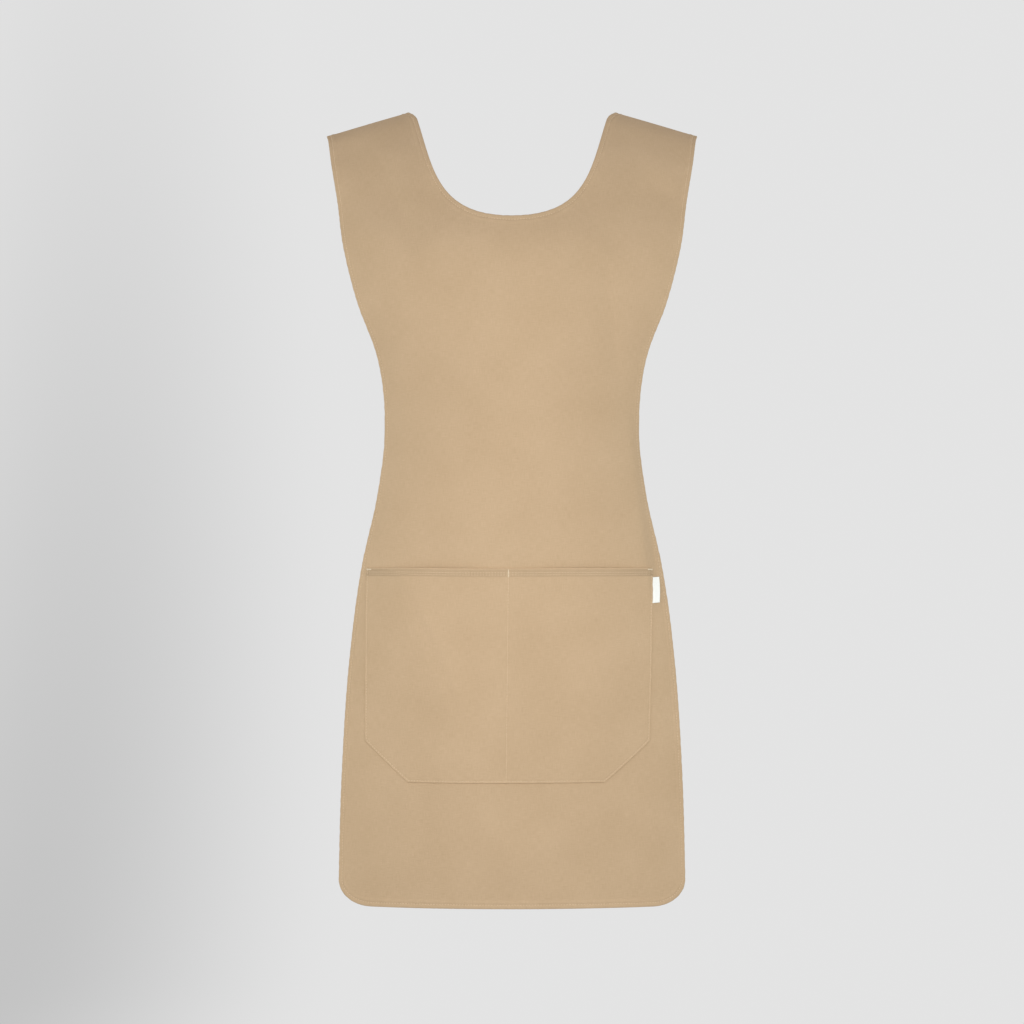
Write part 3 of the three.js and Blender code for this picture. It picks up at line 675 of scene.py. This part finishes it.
beige = woven("beige_cloth", linear(203, 175, 144), linear(189, 161, 129))
white = woven("white_tape", linear(255, 255, 253), linear(250, 249, 246), thread_depth=0.03, slub_depth=0.03)
thread = thread_material("beige_thread", linear(236, 210, 177))
tack_thread = thread_material("tack_thread", linear(240, 224, 198))


# Panels

FILL_SPACING = {"front": 4.0, "back": 5.0}
LINE_SPACING = 2.6
HEM_STITCH = 4.2  # from the edge
SEAM_CLEARANCE = 0.6
EDGE_RADIUS = 0.8
CLOTH_VISUAL = 0.75
HEM_STEP = 1.2  # how far the turned hem stands in from the inner face
HEM_STEP_FADE = 0.5
LINING_ROUND = 1.5  # how many times as much as the outer edge the inner one is rounded
HEM_LINES = (0.35, 0.8, 1.6, 3.0, 3.6, 4.2, 4.8, 5.6, 7.4, 8.3, 9.5)

# Relief and tone along the hems: height, then either width, or where it ends and how softly
HEM_PAD = (0.35, HEM_TURN - 0.6, 1.2)
HEM_GROOVE = (0.4, 0.8)
HEM_PUCKER = (0.22, 5)
# Painted highlight along the hem band, and painted shade right at the hem's edge
HEM_PAINTED_HIGHLIGHT = (0.06, HEM_TURN - 1, 2)
HEM_EDGE_PAINTED_SHADE = (0.25, 0.9)
PUCKER_WAVE = 3.0
PUCKER_SWAY = 2
PUCKER_SWAY_WAVES = (31, 27)

# The middle points of each neck curve, in shares of half the neck's width and of its drop
FRONT_NECK_CURVE = [(0.8, 0.5), (0.8, 1)]
BACK_NECK_CURVE = [(0.9, 0.5), (0.86, 1)]
NECK_POINTS = 240
NECK_CROWDING = 1.5  # above 1, its points lie closer near the shoulders
NECK_REACH = 0.5  # how far down the panel it is looked for
NECK_REACH_STEPS = 1500
NECK_ARC_STEPS = 60
SIDE_POINTS = 330
CORNER_POINTS = 30


def neck_line(drop, middle_points, face, seam):
    """The neck's edge in a panel's flat pattern, from the left end of the seam to the right end."""
    corners = np.array([(1, 0), *middle_points, (0, 1)]) * (NECK_WIDTH / 2, drop)
    t = np.linspace(0, 1, NECK_POINTS)[:, None] ** NECK_CROWDING
    weights = ((1 - t) ** 3, 3 * t * (1 - t) ** 2, 3 * t * t * (1 - t), t**3)
    curve = sum(weight * corner for weight, corner in zip(weights, corners))
    above = np.clip(1 - curve[:, 1] / NECK_ROUND_DOWN, 0, 1)
    curve[:, 0] += NECK_ROUND_ACROSS * (1 - np.sqrt(1 - above**2))
    reach = np.linspace(0, abs(sheet.front_end - seam) * NECK_REACH, NECK_REACH_STEPS)
    along = seam + face * reach
    section = sheet.section(along)
    half = []
    for x, down in curve:
        drops = section["fall"] + section["tilt"] * sheet.sloped(x)
        at = float(np.interp(down, drops, reach))
        row = {size: float(np.interp(at, reach, section[size])) for size in ("width", "turn")}
        across = math.asin(min(1, x * math.sin(row["turn"]) / row["width"])) / row["turn"]
        spread = np.linspace(0, across, NECK_ARC_STEPS)
        arc = sheet.point(spread, np.full(NECK_ARC_STEPS, seam + face * at), folded=False)
        half.append((np.linalg.norm(np.diff(arc, axis=0), axis=1).sum(), at))
    half = np.array(half)
    starts = int(np.argmax(half[:, 1] > 0))
    half = np.vstack([[half[starts, 0], 0], half[starts:]])
    mirrored = half[:-1][::-1] * (-1, 1)
    return resampled(np.vstack([half, mirrored]), LINE_SPACING)


def edge_line(face, seam, end):
    """A panel's free edge, from the right end of the seam round the hem to the left end."""
    length = abs(end - seam)
    reach = np.linspace(0, length - HEM_CORNER_UP, SIDE_POINTS)
    side = np.stack([-sheet.half_width(seam + face * reach), reach], axis=1)
    corner_half = sheet.half_width(np.array([end]))[0]
    turn = np.linspace(0, math.pi / 2, CORNER_POINTS)[1:]
    down = length - HEM_CORNER_UP * (1 - np.sin(turn))
    widths = sheet.half_width(seam + face * down)
    cut_back = HEM_CORNER_ACROSS * (1 - np.cos(turn)) * widths / corner_half
    corner = np.stack([cut_back - widths, down], axis=1)
    half = np.vstack([side, corner])
    return resampled(np.vstack([half, (half * (-1, 1))[::-1]]), LINE_SPACING)


def clipped(line):
    """The part of a line past the seam, its ends on the seam."""
    held = line[line[:, 1] > SEAM_CLEARANCE]
    return np.vstack([held[:1] * (1, 0), held, held[-1:] * (1, 0)])


def hem_relief(edge, puckers):
    """How far the outer face stands out near a hem: rounded edge, padded fold and its stitching's groove."""
    groove = ridge(edge - HEM_STITCH, *HEM_GROOVE)
    wavy = ridge(edge - HEM_STITCH, *HEM_PUCKER) * puckers
    return padding(edge, *HEM_PAD) + wavy - groove - rounding(edge, EDGE_RADIUS)


def lining_relief(edge):
    """How far in the inner face lies near a hem, where the cloth is folded."""
    fold = padding(edge, HEM_STEP, HEM_TURN, HEM_STEP_FADE)
    return LINING_ROUND * rounding(edge, EDGE_RADIUS) - CLOTH_VISUAL - fold


def pucker_wave(flat):
    """Small uneven waves from -1 to 1, as sewing draws cloth together."""
    x, y = flat.T
    sway_x = PUCKER_SWAY * np.sin(y / PUCKER_SWAY_WAVES[0])
    sway_y = PUCKER_SWAY * np.sin(x / PUCKER_SWAY_WAVES[1])
    return np.sin(x / PUCKER_WAVE + sway_x) * np.sin(y / PUCKER_WAVE + sway_y)


def flat_area(outline):
    """In square metres."""
    x, y = outline.T
    return abs(np.dot(x, np.roll(y, -1)) - np.dot(y, np.roll(x, -1))) / 2 * MM * MM


def panel(name, face, drop, neck_curve):
    """The front (face 1) or the back (face -1) with its stitching."""
    seam = SEAM_FORWARD + face * PIECE_GAP / 2
    end = sheet.front_end if face > 0 else sheet.back_end
    neck = neck_line(drop, neck_curve, face, seam)
    edge = edge_line(face, seam, end)
    left_seam = polyline([tuple(edge[-1]), tuple(neck[0])], LINE_SPACING)[1:-1]
    right_seam = polyline([tuple(neck[-1]), tuple(edge[0])], LINE_SPACING)[1:-1]
    outline = np.vstack([edge, left_seam, neck, right_seam])
    lines = []
    for distance in HEM_LINES:
        lines.append(clipped(offset_line(edge, -distance)))
        lines.append(clipped(offset_line(neck, -distance)))
    free_edges = tree_of([edge, neck])
    seam_line = tree_of([left_seam, right_seam])

    def place(flat):
        return sheet.place(flat[:, 0], seam + face * flat[:, 1])

    def outer(flat):
        relief = hem_relief(distances(free_edges, flat), pucker_wave(flat))
        return relief - rounding(distances(seam_line, flat), EDGE_RADIUS)

    def inner(flat):
        near = distances(free_edges, flat)
        felled = padding(distances(seam_line, flat), HEM_STEP, SEAM_ALLOWANCE, HEM_STEP_FADE)
        return np.minimum(lining_relief(near), -CLOTH_VISUAL - felled)

    # Painted highlight along the hem band and painted shade right at the edge
    def tone(flat):
        near = distances(free_edges, flat)
        return padding(near, *HEM_PAINTED_HIGHLIGHT) - ridge(near, *HEM_EDGE_PAINTED_SHADE)

    made = cloth_piece(f"{name}_cloth", outline, lines, FILL_SPACING[name], place, outer, inner, tone)
    rows = [clipped(offset_line(line, -HEM_STITCH)) for line in (edge, neck)]
    stitches = stitched(f"{name}_stitching", rows, place, outer, thread)
    return made, stitches, flat_area(outline), outline


front, front_stitches, front_area, front_outline = panel("front", 1, FRONT_NECK_DROP, FRONT_NECK_CURVE)
back, back_stitches, back_area, back_outline = panel("back", -1, BACK_NECK_DROP, BACK_NECK_CURVE)


# Pocket

POCKET_TOP = sheet.along_at_fall(POCKET_FALL, 1)
POCKET_CLOTH = 0.7
POCKET_EDGE_STITCH = 1.8
PRESSED = 2.2  # how much sharper than round the ironed edges are
MOUTH_STITCHES = (4.7, 6.9)  # below the mouth
POCKET_SPACING = 3.4
POCKET_BOW = 3.4  # how far each compartment stands out at its mouth
TACK = {"pitch": 0.5, "length": 1.5, "thickness": 0.55, "crosswise": True}
TACK_DOWN = 2.0  # of the two bars at the mouth's ends
TACK_SHARE = 0.975
TACK_LENGTH = 7
MIDDLE_TACK_LENGTH = 9
POCKET_LINES = (0.35, 0.8, 1.3, 1.8, 2.3, 3.2, 7.0, 8.2)
MOUTH_LINES = (0.35, 0.8, 1.8, 3.2, 4.1, 4.7, 5.3, 6.3, 6.9, 7.5, 8.4, 9.4)
DIVIDER_LINES = (-3, -1.6, -0.8, 0, 0.8, 1.6, 3)
POCKET_BODY = 1.2  # from the apron's face to the pocket's where it lies flat
POCKET_LOWEST = -0.2
SEWN_HEIGHT = 0.1  # of the pocket's inner face where it is sewn down
SEWN_FADES = (3, 2)  # from the edge and from the divider
MOUTH_ROW_SHARE = 0.999
MOUTH_STITCH_SHARE = 0.985
ROW_SPACING = 10
MIDDLE_TACK_START = 0.4

# Relief and tone of the pocket, given in the same way
SEAM_PAD = (0.15, 5, 4)
MOUTH_PAD = (0.5, POCKET_HEM - 0.3, 0.9)
MOUTH_PAD_INSIDE = (0.8, POCKET_HEM, 0.6)
EDGE_GROOVE = (0.2, 0.6)
MOUTH_GROOVES = [(0.15, 0.6), (0.45, 0.6)]
DIVIDER_GROOVE = (0.35, 1.1)
DIVIDER_PAD = (0.15, 6)
EDGE_PUCKER_AT = 3
EDGE_PUCKER = (0.3, 5)
DIVIDER_PUCKER = (0.3, 6)
# Painted highlights: thin light lines along the pocket's folded edges and along its lip
EDGE_PAINTED_HIGHLIGHT = (0.35, 1.2)
LIP_PAINTED_HIGHLIGHT = (0.9, 0.8)
# Painted shade: a darker band below the pocket's mouth, darkest towards its ends
MOUTH_PAINTED_SHADE = 0.5
MOUTH_PAINTED_SHADE_ENDS = (0.4, 0.22)
MOUTH_PAINTED_SHADE_BAND = (1, POCKET_HEM + 0.4, 1)
MOUTH_PAINTED_SHADE_START = 0.3


def pocket_width(down):
    return POCKET_WIDTH + (POCKET_FOOT_WIDTH - POCKET_WIDTH) * (down / POCKET_HEIGHT)


def pocket_middle(down):
    return POCKET_SHIFT + POCKET_LEAN * (down / POCKET_HEIGHT)


def pocket_sideways(share, down):
    """Where a share of half the pocket's width lies."""
    return pocket_middle(down) + share * pocket_width(down) / 2


def pocket_share(flat):
    """The share of half the pocket's width at which flat points lie."""
    sideways, down = flat.T
    return (sideways - pocket_middle(down)) * 2 / pocket_width(down)


def pocket_row(down, share, spacing):
    """A line across the pocket, its ends at a share of half its width."""
    return polyline([(pocket_sideways(-share, down), down), (pocket_sideways(share, down), down)], spacing)


def pocket_place(flat):
    return sheet.place(flat[:, 0], POCKET_TOP + flat[:, 1])


def pocket_foot(share):
    """How far down the pocket reaches at a share of half its width."""
    into = np.abs(share) * POCKET_FOOT_WIDTH / 2 - (POCKET_FOOT_WIDTH / 2 - POCKET_CHAMFER_ACROSS)
    return POCKET_HEIGHT - np.clip(into / POCKET_CHAMFER_ACROSS, 0, 1) * POCKET_CHAMFER_UP


def pocket():
    """The pocket's cloth with its stitching and bar tacks."""
    flat_share = 1 - 2 * POCKET_CHAMFER_ACROSS / POCKET_FOOT_WIDTH
    side_end = POCKET_HEIGHT - POCKET_CHAMFER_UP
    corner_places = [(-1, 0), (-1, side_end), (-flat_share, POCKET_HEIGHT)]
    corner_places += [(-share, down) for share, down in reversed(corner_places)]
    sewn_corners = [(pocket_sideways(share, down), down) for share, down in corner_places]
    sewn = polyline(sewn_corners, LINE_SPACING)
    mouth = polyline([sewn_corners[-1], sewn_corners[0]], LINE_SPACING)
    outline = np.vstack([sewn, mouth[1:-1]])
    middle = polyline([(pocket_sideways(0, down), down) for down in (0, POCKET_HEIGHT)], LINE_SPACING)
    lines = [clipped(offset_line(sewn, -distance)) for distance in POCKET_LINES]
    lines += [pocket_row(down, MOUTH_ROW_SHARE, LINE_SPACING) for down in MOUTH_LINES]
    lines += [(middle + (beside, 0))[1:-1] for beside in DIVIDER_LINES]
    sewn_tree = tree_of([sewn])
    middle_tree = tree_of([middle])

    def ease(flat):
        bow = np.sin(np.pi * np.abs(np.clip(pocket_share(flat), -1, 1))) ** 2
        down = np.clip(flat[:, 1] / pocket_foot(pocket_share(flat)), 0, 1)
        return POCKET_BOW * bow * (1 - down**2)

    def outer(flat):
        edge = distances(sewn_tree, flat)
        down = flat[:, 1]
        middle_gap = distances(middle_tree, flat)
        pads = padding(edge, *SEAM_PAD) + padding(down, *MOUTH_PAD) + ridge(middle_gap, *DIVIDER_PAD)
        grooves = ridge(edge - POCKET_EDGE_STITCH, *EDGE_GROOVE) + ridge(middle_gap, *DIVIDER_GROOVE)
        for at, groove in zip(MOUTH_STITCHES, MOUTH_GROOVES):
            grooves += ridge(down - at, *groove)
        puckers = ridge(edge - EDGE_PUCKER_AT, *EDGE_PUCKER) + ridge(middle_gap, *DIVIDER_PUCKER)
        wavy = puckers * pucker_wave(flat)
        rounded = rounding(np.minimum(edge, down) * PRESSED, POCKET_CLOTH)
        return POCKET_BODY + ease(flat) + pads + wavy - grooves - rounded

    def inner(flat):
        edge = distances(sewn_tree, flat)
        down = flat[:, 1]
        middle_gap = distances(middle_tree, flat)
        held = np.maximum(padding(edge, 1, 0, SEWN_FADES[0]), padding(middle_gap, 1, 0, SEWN_FADES[1]))
        relief = rounding(down, POCKET_CLOTH) - padding(down, *MOUTH_PAD_INSIDE)
        free = POCKET_BODY - POCKET_CLOTH + ease(flat) + relief
        return np.maximum(POCKET_LOWEST, free * (1 - held) + SEWN_HEIGHT * held)

    def tone(flat):
        """Painted highlights along its folded edges and its lip, and painted shade in a band below its mouth,
        most of all at the ends.
        """
        edge = distances(sewn_tree, flat)
        down = flat[:, 1]
        mouth_painted_shade = MOUTH_PAINTED_SHADE + ridge(1 - np.abs(pocket_share(flat)), *MOUTH_PAINTED_SHADE_ENDS)
        mouth_painted_shade *= padding(down, *MOUTH_PAINTED_SHADE_BAND) * smooth(down - MOUTH_PAINTED_SHADE_START)
        return ridge(edge, *EDGE_PAINTED_HIGHLIGHT) + ridge(down, *LIP_PAINTED_HIGHLIGHT) - mouth_painted_shade

    made = cloth_piece("pocket_cloth", outline, lines, POCKET_SPACING, pocket_place, outer, inner, tone)
    rows = [clipped(offset_line(sewn, -POCKET_EDGE_STITCH)), middle]
    rows += [pocket_row(down, MOUTH_STITCH_SHARE, ROW_SPACING) for down in MOUTH_STITCHES]
    stitches = stitched("pocket_stitching", rows, pocket_place, outer, thread)
    bars = []
    for share in (-TACK_SHARE, TACK_SHARE):
        x = pocket_sideways(share, TACK_DOWN)
        bars.append(np.array([(x - TACK_LENGTH / 2, TACK_DOWN), (x + TACK_LENGTH / 2, TACK_DOWN)]))
    x = pocket_sideways(0, TACK_DOWN)
    bars.append(np.array([(x, MIDDLE_TACK_START), (x, MIDDLE_TACK_START + MIDDLE_TACK_LENGTH)]))
    tack = stitched("pocket_bar_tacks", bars, pocket_place, outer, tack_thread, TACK)
    return made, stitches, tack, flat_area(outline)


pocket_cloth, pocket_stitches, pocket_tacks, pocket_area = pocket()


# Side label and side straps


def layered_faces(rows, columns):
    """Faces of a strip of two layers, each with its points row by row, and of the rim between them."""
    stride = columns + 1
    layer_size = stride * (rows + 1)
    faces = []
    for row in range(rows):
        for column in range(columns):
            a = row * stride + column
            b = a + stride
            faces.append((a, b, b + 1, a + 1))
            faces.append(tuple(layer_size + n for n in (a, a + 1, b + 1, b)))
    rim = [*range(stride), *(row * stride + columns for row in range(1, rows + 1))]
    rim += [rows * stride + column for column in reversed(range(columns))]
    rim += [row * stride for row in reversed(range(1, rows))]
    for a, b in zip(rim, rim[1:] + rim[:1]):
        faces.append((a, b, b + layer_size, a + layer_size))
    return faces


LABEL_COLUMNS = 14
LABEL_ROWS = 36
LABEL_WAVE = 0.5
LABEL_FOLD = 0.1  # the share of its width that is rounded at the fold
LABEL_RISING = 0.25  # the share over which it rises out of the seam
LABEL_HALF_WALL = (0.15, 0.3)  # in the seam, and how much more outside it
LABEL_HEIGHT = (0.25, 0.6)  # the same


def label():
    """The white tab: a loop of tape caught in the pocket's side seam, its fold lifting off the apron."""
    width = LABEL_WIDTH + LABEL_TUCK
    flat, heights = [], []
    for side in (1, -1):
        for row in range(LABEL_ROWS + 1):
            for column in range(LABEL_COLUMNS + 1):
                share, level = column / LABEL_COLUMNS, row / LABEL_ROWS
                down = LABEL_DROP + LABEL_LENGTH * level
                flat.append((pocket_sideways(1, down) - LABEL_TUCK + share * width, down))
                curl = LABEL_LIFT * share**2 + LABEL_WAVE * math.sin(math.pi * level) * share
                fold = 1 - max(0, (share - 1 + LABEL_FOLD) / LABEL_FOLD) ** 2
                free = smooth((share - LABEL_TUCK / width) / LABEL_RISING)
                half_wall = (LABEL_HALF_WALL[0] + LABEL_HALF_WALL[1] * free) * fold
                heights.append(LABEL_HEIGHT[0] + LABEL_HEIGHT[1] * free + curl + side * half_wall)
    flat = np.array(flat)
    points, normals = pocket_place(flat)
    vertices = points + normals * np.array(heights)[:, None]
    return add_object("label_tape", vertices, layered_faces(LABEL_ROWS, LABEL_COLUMNS), white, flat=flat)


label_tape = label()

STRAP_ROWS = 16
STRAP_LAP_SHARES = (1, 0.75, 0.5, 0.25)
STRAP_LAST_LAP = 2
STRAP_STEPS = 14  # between the panels
STRAP_BOW = 5
STRAP_THINNED = 0.3  # how much thinner each half is at its edges
STRAP_PUFF = 0.35
STRAP_PUFF_WIDTH = 1.5


def strap_row(side, height):
    """Points and normals of one line along a strap, from inside the front panel to inside the back panel."""
    laps = np.array([*(STRAP_LAP * share for share in STRAP_LAP_SHARES), STRAP_LAST_LAP])
    inwards = -(CLOTH_VISUAL + HEM_STEP + PIECE_GAP + STRAP_WALL)
    ends = []
    for face in (1, -1):
        along = sheet.along_at_fall(WAIST_FALL + height, face)
        half = sheet.half_width(np.array([along]))[0]
        points, normals = sheet.place(side * (half - laps), np.full_like(laps, along))
        ends.append((points + normals * inwards, normals))
    front_points, front_normals = ends[0]
    back_points, back_normals = (values[::-1] for values in ends[1])
    free = np.linspace(0, 1, STRAP_STEPS)[1:-1, None]
    bowed = np.array([side, 0, 0]) * STRAP_BOW * np.sin(np.pi * free)
    between = front_points[-1] * (1 - free) + back_points[0] * free + bowed
    turned = front_normals[-1] * (1 - free) + back_normals[0] * free
    points = np.vstack([front_points, between, back_points])
    return points, np.vstack([front_normals, turned, back_normals])


def strap(side, name):
    """A doubled strip of cloth across one open side at the waist, sewn inside both panels, and its length."""
    heights = np.linspace(-0.5, 0.5, STRAP_ROWS + 1) * STRAP_WIDTH
    lines = [strap_row(side, height) for height in heights]
    middle = lines[STRAP_ROWS // 2][0]
    reach = np.concatenate([[0], np.cumsum(np.linalg.norm(np.diff(middle, axis=0), axis=1))])
    flat = np.array([(far, height) for height in heights for far in reach])
    points, normals = (np.vstack(values) for values in zip(*lines))
    normals /= np.linalg.norm(normals, axis=1)[:, None]
    edge = STRAP_WIDTH / 2 - np.abs(flat[:, 1])
    puff = STRAP_PUFF * (1 - np.exp(-edge / STRAP_PUFF_WIDTH))
    half_wall = STRAP_WALL / 2 - STRAP_THINNED + puff
    layers = [points + normals * (STRAP_WALL / 2 + way * half_wall)[:, None] for way in (1, -1)]
    faces = layered_faces(STRAP_ROWS, len(middle) - 1)
    if side < 0:
        faces = [tuple(reversed(face)) for face in faces]
    return add_object(name, np.vstack(layers), faces, beige, flat=np.vstack([flat, flat])), reach[-1]


straps = {name: strap(side, f"{name}_strap_cloth") for name, side in (("left", 1), ("right", -1))}


# What each piece stands for

FRONT_NODES = ["front_panel", "front_neck_hem", "front_left_hem", "front_right_hem", "front_bottom_hem"]
BACK_NODES = ["back_panel", "back_neck_hem", "back_left_hem", "back_right_hem", "back_bottom_hem"]
SEAM_NODES = ["left_shoulder_seam", "right_shoulder_seam"]
pieces = {
    front: ("beige_cloth", FRONT_NODES),
    back: ("beige_cloth", BACK_NODES + SEAM_NODES),
    pocket_cloth: ("beige_cloth", ["pocket"]),
    label_tape: ("white_tape", ["side_label"]),
    straps["left"][0]: ("beige_cloth", ["left_side_strap"]),
    straps["right"][0]: ("beige_cloth", ["right_side_strap"]),
    front_stitches: ("hem_cloth", []),
    back_stitches: ("hem_cloth", []),
    pocket_stitches: ("hem_cloth", []),
    pocket_tacks: ("hem_cloth", []),
}
for piece, (slot, nodes) in pieces.items():
    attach(piece, "root")
    if nodes:
        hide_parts(*nodes)


def flat_size(outline):
    return tuple(float(side) * MM for side in outline.max(axis=0) - outline.min(axis=0))


flat_size(front_outline)
flat_size(back_outline)


# Stage, light and camera

IMAGE = 1024  # pixels
MM_PER_PIXEL = 1.05  # at the picture plane
PICTURE_PLANE = -0.025
CAMERA_DISTANCE = 4.5
CAMERA_HEIGHT = -0.4075
CAMERA_REACH = 100
SENSOR = 36
STAGE_RADIUS = 7.0
STAGE_DROP = 0.6  # floor below the hem
STAGE_HEIGHT = 9
STAGE_STEPS = 24
STAGE_SIDES = 96
STAGE_FILLET = 2.5
BACKDROP_LEVEL = 0.771
BACKDROP_DARK = 0.521
BACKDROP_FRONT = -2  # from here to BACKDROP_BACK it brightens from BACKDROP_FRONT_SHARE to the full level
BACKDROP_BACK = 3
BACKDROP_FRONT_SHARE = 0.55
BACKDROP_SHADE_SPREAD = (1, 0, 0.176)  # the painted shade is a tall one, the same at any depth
BACKDROP_SHADE_PLACE = (-1.1, 0, -0.409)
BACKDROP_SHADE_REACH = 0.78
WORLD_STRENGTH = 0.4

# Name, place, target, size, power and colour of each light
SHADE_TINT = (0.86, 1, 0.9)
LIGHTS = [
    ("key", (-0.03, -1.1, -0.42), (0, 0, -0.43), (2.2, 0.4), 8.7, (1, 0.985, 0.97)),
    ("fill_left", (-2.4, -1.2, -0.4), (0, 0, -0.42), (1.0, 1.0), 15.5, SHADE_TINT),
    ("fill_right", (2.4, -1.2, -0.4), (0, 0, -0.42), (1.0, 1.0), 16, SHADE_TINT),
    ("top", (0, -0.15, 1.8), (0, 0, -0.2), (1.2, 1.2), 6.5, (1, 1, 1)),
]


def stage_bowl():
    """Floor and walls in one round bowl with a soft corner."""
    floor = float(cad_box[0][2]) - STAGE_DROP
    inner = STAGE_RADIUS - STAGE_FILLET
    profile = [(0, floor)]
    for k in range(STAGE_STEPS + 1):
        turn = math.pi / 2 * k / STAGE_STEPS
        profile.append((inner + STAGE_FILLET * math.sin(turn), floor + STAGE_FILLET * (1 - math.cos(turn))))
    profile.append((STAGE_RADIUS, floor + STAGE_HEIGHT))
    sides = STAGE_SIDES
    vertices, faces = [], []
    for radius, height in profile:
        for k in range(sides):
            turn = 2 * math.pi * k / sides
            vertices.append((radius * math.cos(turn) / MM, radius * math.sin(turn) / MM, height / MM))
    for row in range(len(profile) - 1):
        for k in range(sides):
            a, b = row * sides + k, row * sides + (k + 1) % sides
            faces.append((a, b, b + sides, a + sides))
    bowl = add_object("stage_bowl", vertices, faces, backdrop_material())


def area_light(name, place, target, size, power, colour):
    data = bpy.data.lights.new(name, "AREA")
    data.shape = "RECTANGLE"
    data.size, data.size_y = size
    data.energy = power
    data.color = colour
    made = bpy.data.objects.new(name, data)
    made.location = place
    made.rotation_mode = "QUATERNION"
    made.rotation_quaternion = (Vector(target) - Vector(place)).to_track_quat("-Z", "Y")
    made.visible_camera = False
    bpy.context.scene.collection.objects.link(made)


def camera():
    data = bpy.data.cameras.new("camera")
    data.sensor_width = SENSOR
    data.lens = SENSOR * CAMERA_DISTANCE / (IMAGE * MM_PER_PIXEL * MM)
    data.clip_end = CAMERA_REACH
    made = bpy.data.objects.new("camera", data)
    made.location = (0, PICTURE_PLANE - CAMERA_DISTANCE, CAMERA_HEIGHT)
    made.rotation_euler = (math.pi / 2, 0, 0)
    bpy.context.scene.collection.objects.link(made)
    bpy.context.scene.camera = made


stage_bowl()
camera()
for light in LIGHTS:
    area_light(*light)

world = bpy.data.worlds.new("world")
world.use_nodes = True
world.node_tree.nodes["Background"].inputs["Color"].default_value = (1, 1, 1, 1)
world.node_tree.nodes["Background"].inputs["Strength"].default_value = WORLD_STRENGTH
bpy.context.scene.world = world
bpy.context.scene.view_settings.view_transform = "Standard"

bpy.context.view_layer.update()
